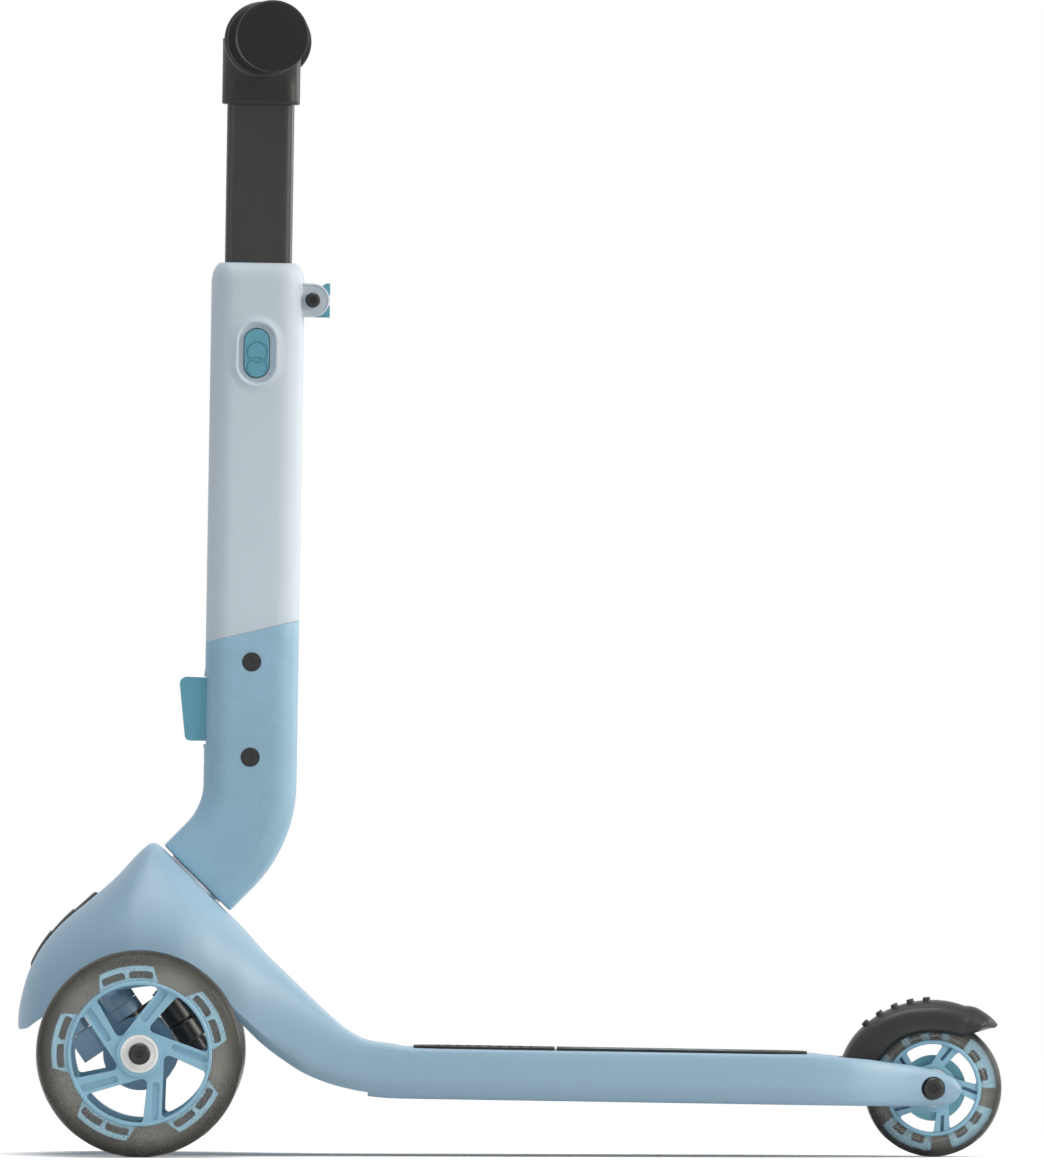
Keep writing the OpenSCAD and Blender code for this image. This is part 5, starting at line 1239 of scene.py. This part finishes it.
def fender_shell():
    """The outer and the inner skin as one ring per angle, with a strip of faces over
    each end."""
    rows = fair(FENDER_ROWS, 7)
    skins = []
    for thick in (0, FENDER_T):
        y, h = fender_half_section(rows, thick)
        skins.append(round_axle(rows[:, :1], np.hstack([-y[:, :0:-1], y]),
                                np.hstack([h[:, :0:-1], h])))
    ring = np.concatenate([skins[0], skins[1][:, ::-1]], axis=1)
    verts, faces = grid(ring)
    n, m = ring.shape[:2]
    i = np.arange(m // 2 - 1)
    strip = np.stack([i, i + 1, m - 2 - i, m - 1 - i], -1)
    faces += strip[:, ::-1].tolist() + (strip + (n - 1) * m).tolist()
    return verts, faces


def fender_studs(rise):
    """Rows of round studs. Each stands as far below the crown as the fender's section
    falls at its distance from the middle."""
    rows = np.array(FENDER_ROWS)
    # Radius and height
    stud = np.array([(0, -1.4), (2.3, -1.4), (2.15, rise - 0.35), (1.85, rise - 0.05),
                     (1.5, rise), (0.9, rise - 0.15), (0, rise - 0.2)])
    studs = []
    for angle in STUD_ANGLES:
        crown = np.interp(angle, rows[:, 0], rows[:, 1])
        a = math.radians(angle)
        out = np.array([math.cos(a), 0, math.sin(a)])
        for y in STUD_Y:
            sunk = 3 * (abs(y) / FENDER_HALF / CROWN_SHARE) ** CROWN_POWER
            seat = out * (REAR_R + crown - sunk) + [WHEELBASE, y, -AXLE_DROP]
            studs.append(turned(stud, 20, frame_at(seat, (0, 1, 0), out)))
    return studs


def fender_lugs():
    """A round lug on the hinge pin at each side, and the web that holds it."""
    # Radius and distance from the middle
    lug = softened([(2.55, 8), (4.6, 8), (4.6, 15.8), (2.55, 15.8)], 0.3, 2)
    # Along u and up, from the hinge
    web = [(-3.9, 2.4), (3.9, 2.4), (6.1, 8.6), (0.0, 7.6)]
    u, w = FENDER_HINGE
    lugs = []
    for side in (-1, 1):
        lugs.append(turned(lug, 40, across(u, 0, w, side)))
        low, high = sorted((-side * 12.4, -side * 15.4))
        lugs.append(prism(web, low, high, across(u, 0, w)))
    return lugs


class SCOOTER_OT_fender(bpy.types.Operator):
    """Brake fender with its creases, studs and hinge lugs"""

    bl_idname = "scooter.fender"
    bl_label = "Brake Fender"
    bl_options = {"REGISTER", "UNDO"}

    def execute(self, context):
        rise = context.scene.scooter_sizes.stud_rise / MM
        parts = [fender_shell(), *fender_studs(rise), *fender_lugs()]
        piece = new_object("fender_skin", joined(*parts))
        finished(piece, "fender", "Fender Plastic", 34, ["brake_fender"])
        return {"FINISHED"}


# Finishes of the frame's own solids

NODE_FINISH = {
    "Grip Pad": ["deck_grip"],
    "Teal Plastic": ["deck_inlay", "fold_lever", "height_button", "rear_clip"],
    "Core Ring": ["core_ring_rear"],
    "Black Plastic": ["nose_strip", "guide_bushing"],
    "Body Plastic": ["knuckle_left", "knuckle_right", "tie_rod"],
    "Hub Plastic": ["hub_left", "hub_right", "hub_rear"],
    "Bearing Seal": ["bearings_left", "bearings_right", "bearings_rear"],
    "Buffer Rubber": ["buffers_left", "buffers_right"],
    "Bar Tube": ["bar_tube", "handlebar"],
    "Black Steel": ["axle_left", "axle_right", "rear_axle", "rear_axle_nut",
                    "column_bolts", "clip_bolt", "lever_plate_left", "lever_plate_right",
                    "buffer_bolt_left", "buffer_bolt_right"],
}


class SCOOTER_OT_finishes(bpy.types.Operator):
    """Materials of every piece, and those of the frame's own solids"""

    bl_idname = "scooter.finishes"
    bl_label = "Finishes"
    bl_options = {"REGISTER", "UNDO"}

    def execute(self, context):
        tints = context.scene.scooter_finishes
        for build in (build_moulded_grain, build_handling_marks, build_soft_edge,
                      build_brushed_grain, build_outward_shade):
            build()
        moulded("Body Plastic", tints.body, grain=1100, mottle=0.03, rough=0.42)
        moulded("Elbow Plastic", tints.elbow, grain=700, mottle=0.14, rough=0.44,
                strength=0.5)
        moulded("Hub Plastic", tints.hub, grain=1400, mottle=0.03, rough=0.36,
                strength=0.12, edge=0.0005)
        moulded("Column Plastic", tints.column, grain=1000, mottle=0.02, rough=0.45,
                strength=0.2)
        moulded("Teal Plastic", tints.teal, grain=1000, mottle=0.07, rough=0.45,
                strength=0.35)
        satin = {"Specular_IOR_Level": 0.35}
        moulded("Black Plastic", tints.black, grain=900, rough=0.45, marks=0.3, **satin)
        moulded("Bar Plastic", tints.black, grain=1300, rough=0.4, strength=0.15,
                marks=0.2, **satin)
        # Painted light: the controls' teal made paler, so that the ring deep in the rear
        # wheel reads lit
        teal_painted_lit = [min(1, c * k) for c, k in zip(tints.teal, (2.6, 1.9, 1.6))]
        moulded("Core Ring", teal_painted_lit, rough=0.4)
        moulded("Strip Plastic", [c * 0.6 for c in tints.black], grain=1200, rough=0.4,
                marks=0.2, **satin)
        moulded("Fender Plastic", tints.black, grain=900, rough=0.38, marks=0.25, **satin)
        moulded("Grip Rubber", tints.rubber, grain=1500, rough=0.55, strength=0.3,
                Specular_IOR_Level=0.22)
        moulded("Grip Pad", tints.rubber, grain=700, rough=0.75, strength=0.7, marks=0.5)
        moulded("Buffer Rubber", [c * 0.5 for c in tints.rubber], rough=0.35,
                strength=0.1)
        moulded("Bearing Seal", colour("#fbfbf9"), rough=0.3, mottle=0.005, edge=0.0002)
        brushed("Bar Tube", colour("#2e2e2f"), (900, 900, 12), 0.33, 0.2)
        brushed("Plain Steel", colour("#b9bcc0"), (700, 60, 700), 0.3, 1.0)
        brushed("Black Steel", colour("#262626"), (500, 80, 500), 0.38, 0.35)
        # Painted shade: the tyre's colour darkens from next to the rim towards the tread
        clouded_rubber("Smoky Tyre", tints.tyre_near, tints.tyre_tread_shade, 0.3, 0.06, 0.3,
                       Transmission_Weight=0.92, IOR=1.18, Specular_IOR_Level=1.0)
        # Painted shade: the sheet inside each tyre, paler next to the rim and darker at
        # the tread
        clouded_rubber("Painted Tyre Shade", tints.shade_sheet_near, tints.shade_sheet_far, 0.0, 0.16, 0.8)
        finish_of = {n: m for m, nodes in NODE_FINISH.items() for n in nodes}
        for name, solid in CAD.items():
            material = bpy.data.materials[finish_of.get(name, "Plain Steel")]
            solid.data.materials.clear()
            solid.data.materials.append(material)
        return {"FINISHED"}


# Stage


def seen_rays(tree):
    """1 for the rays that show the backdrop: the camera's, glossy and transmitted."""
    path = add_node(tree, "LightPath").outputs
    return maths(tree, "MAXIMUM", path["Is Camera Ray"], maths(
        tree, "MAXIMUM", path["Is Glossy Ray"], path["Is Transmission Ray"]))


class SCOOTER_OT_stage(bpy.types.Operator):
    """Pale floor, soft studio light and the camera at the photograph's place"""

    bl_idname = "scooter.stage"
    bl_label = "Stage"
    bl_options = {"REGISTER", "UNDO"}

    def execute(self, context):
        scene = context.scene
        self.floor(scene)
        self.lights(scene)
        self.camera(scene)
        scene.view_settings.view_transform = "Standard"
        return {"FINISHED"}

    def floor(self, scene):
        """A pale floor whose own glow fades where something stands close to it: a painted
        contact shadow.
        """
        mesh = bpy.data.meshes.new("floor")
        corners = [(-1.4, -1.2, 0), (1.4, -1.2, 0), (1.4, 0.7, 0), (-1.4, 0.7, 0)]
        mesh.from_pydata(corners, [], [(0, 1, 2, 3)])
        plane = bpy.data.objects.new("floor", mesh)
        scene.collection.objects.link(plane)
        tree, principled = new_material("Studio Floor", Roughness=0.9,
                                        Specular_IOR_Level=0.1)
        contact = add_node(tree, "AmbientOcclusion", samples=16, Distance=0.2)
        clear = add_node(tree, "MapRange", Value=contact.outputs["AO"], From_Min=0.45,
                         From_Max=0.9, To_Min=0.05, To_Max=0.7)
        glow = maths(tree, "MULTIPLY", seen_rays(tree), clear.outputs[0])
        feed(tree, principled, Base_Color=(0.9, 0.9, 0.9, 1), Emission_Strength=glow,
             Emission_Color=(1, 1, 1, 1))
        mesh.materials.append(bpy.data.materials["Studio Floor"])

    def lights(self, scene):
        """A white backdrop, a faint blue fill that lights the scooter, and four lamps."""
        world = bpy.data.worlds.new("studio")
        world.use_nodes = True
        scene.world = world
        tree = world.node_tree
        fill = feed(tree, tree.nodes["Background"], Color=(0.84, 0.93, 1.0, 1),
                    Strength=0.15)
        white = add_node(tree, "Background", Color=(1, 1, 1, 1), Strength=1.0)
        mix = add_node(tree, "MixShader")
        for k, source in enumerate((seen_rays(tree), fill.outputs[0], white.outputs[0])):
            put(tree, mix.inputs[k], source)
        feed(tree, tree.nodes["World Output"], Surface=mix.outputs[0])
        # Place, aim, side, watts and colour of each soft lamp
        for name, place, aim, side, power, tint in (
                ("key_right", (2.6, -1.1, 1.5), (0, 0, 0.35), 1.6, 65, (1, 0.955, 0.87)),
                ("rim_right", (2.2, 1.3, 0.8), (0, 0, 0.35), 1.1, 18, (1.0, 0.99, 0.96)),
                ("top", (-0.3, -0.6, 2.8), (-0.05, 0, 0.2), 2.0, 52, (1.0, 1.0, 1.0)),
                ("left", (-2.4, -1.6, 0.9), (-0.1, 0, 0.3), 0.9, 4.0, (0.75, 0.9, 1.0))):
            lamp = bpy.data.lights.new(name, "AREA")
            lamp.shape, lamp.size, lamp.energy, lamp.color = "SQUARE", side, power, tint
            stand = bpy.data.objects.new(name, lamp)
            stand.location = place
            look = Vector(aim) - Vector(place)
            stand.rotation_euler = look.to_track_quat("-Z", "Y").to_euler()
            scene.collection.objects.link(stand)

    def camera(self, scene):
        """A long lens square to the scooter's side. Its focal length is the sensor's
        width times the distance, over the height that fills the picture."""
        distance = scene.scooter_sizes.camera_distance
        # Height of the scooter's middle plane that fills the picture, in metres
        seen_height = 0.6814
        lens = bpy.data.cameras.new("studio_camera")
        lens.sensor_width = 36.0
        lens.lens = lens.sensor_width * distance / seen_height
        lens.clip_start, lens.clip_end = 0.5, 100.0
        view = bpy.data.objects.new("studio_camera", lens)
        aim = Vector((0.0063, 0, 0.3306))
        eye = aim + distance * Vector((0.00017, -1, 0.00162))
        roll = Quaternion((0, 0, 1), math.radians(0.155))
        view.location = eye
        view.rotation_euler = ((aim - eye).to_track_quat("-Z", "Y") @ roll).to_euler()
        scene.collection.objects.link(view)
        scene.camera = view


# Panel and registration

OPERATORS = (SCOOTER_OT_finishes, SCOOTER_OT_frame_body, SCOOTER_OT_nose_strip,
             SCOOTER_OT_elbow, SCOOTER_OT_column, SCOOTER_OT_bar_junction,
             SCOOTER_OT_grips, SCOOTER_OT_tyres, SCOOTER_OT_fender, SCOOTER_OT_stage)


class SCOOTER_PT_panel(bpy.types.Panel):
    """Sizes, colours and building steps of the scooter"""

    bl_idname = "SCOOTER_PT_panel"
    bl_label = "Kids Scooter"
    bl_space_type = "VIEW_3D"
    bl_region_type = "UI"
    bl_category = "Scooter"

    def draw(self, context):
        for group in (context.scene.scooter_sizes, context.scene.scooter_finishes):
            box = self.layout.box()
            for name in group.__annotations__:
                box.prop(group, name)
        for operator in OPERATORS:
            self.layout.operator(operator.bl_idname)


CLASSES = (ScooterFinishes, ScooterSizes, *OPERATORS, SCOOTER_PT_panel)


def register():
    """Adds the classes and the scene's two groups of properties."""
    for each in CLASSES:
        bpy.utils.register_class(each)
    bpy.types.Scene.scooter_finishes = bpy.props.PointerProperty(type=ScooterFinishes)
    bpy.types.Scene.scooter_sizes = bpy.props.PointerProperty(type=ScooterSizes)


def unregister():
    """Takes away what register() added."""
    del bpy.types.Scene.scooter_sizes
    del bpy.types.Scene.scooter_finishes
    for each in reversed(CLASSES):
        bpy.utils.unregister_class(each)


def main():
    """Builds every piece through its operator."""
    register()
    for operator in OPERATORS:
        space, name = operator.bl_idname.split(".")
        getattr(getattr(bpy.ops, space), name)()
    bpy.context.view_layer.update()


if __name__ == "__main__":
    main()
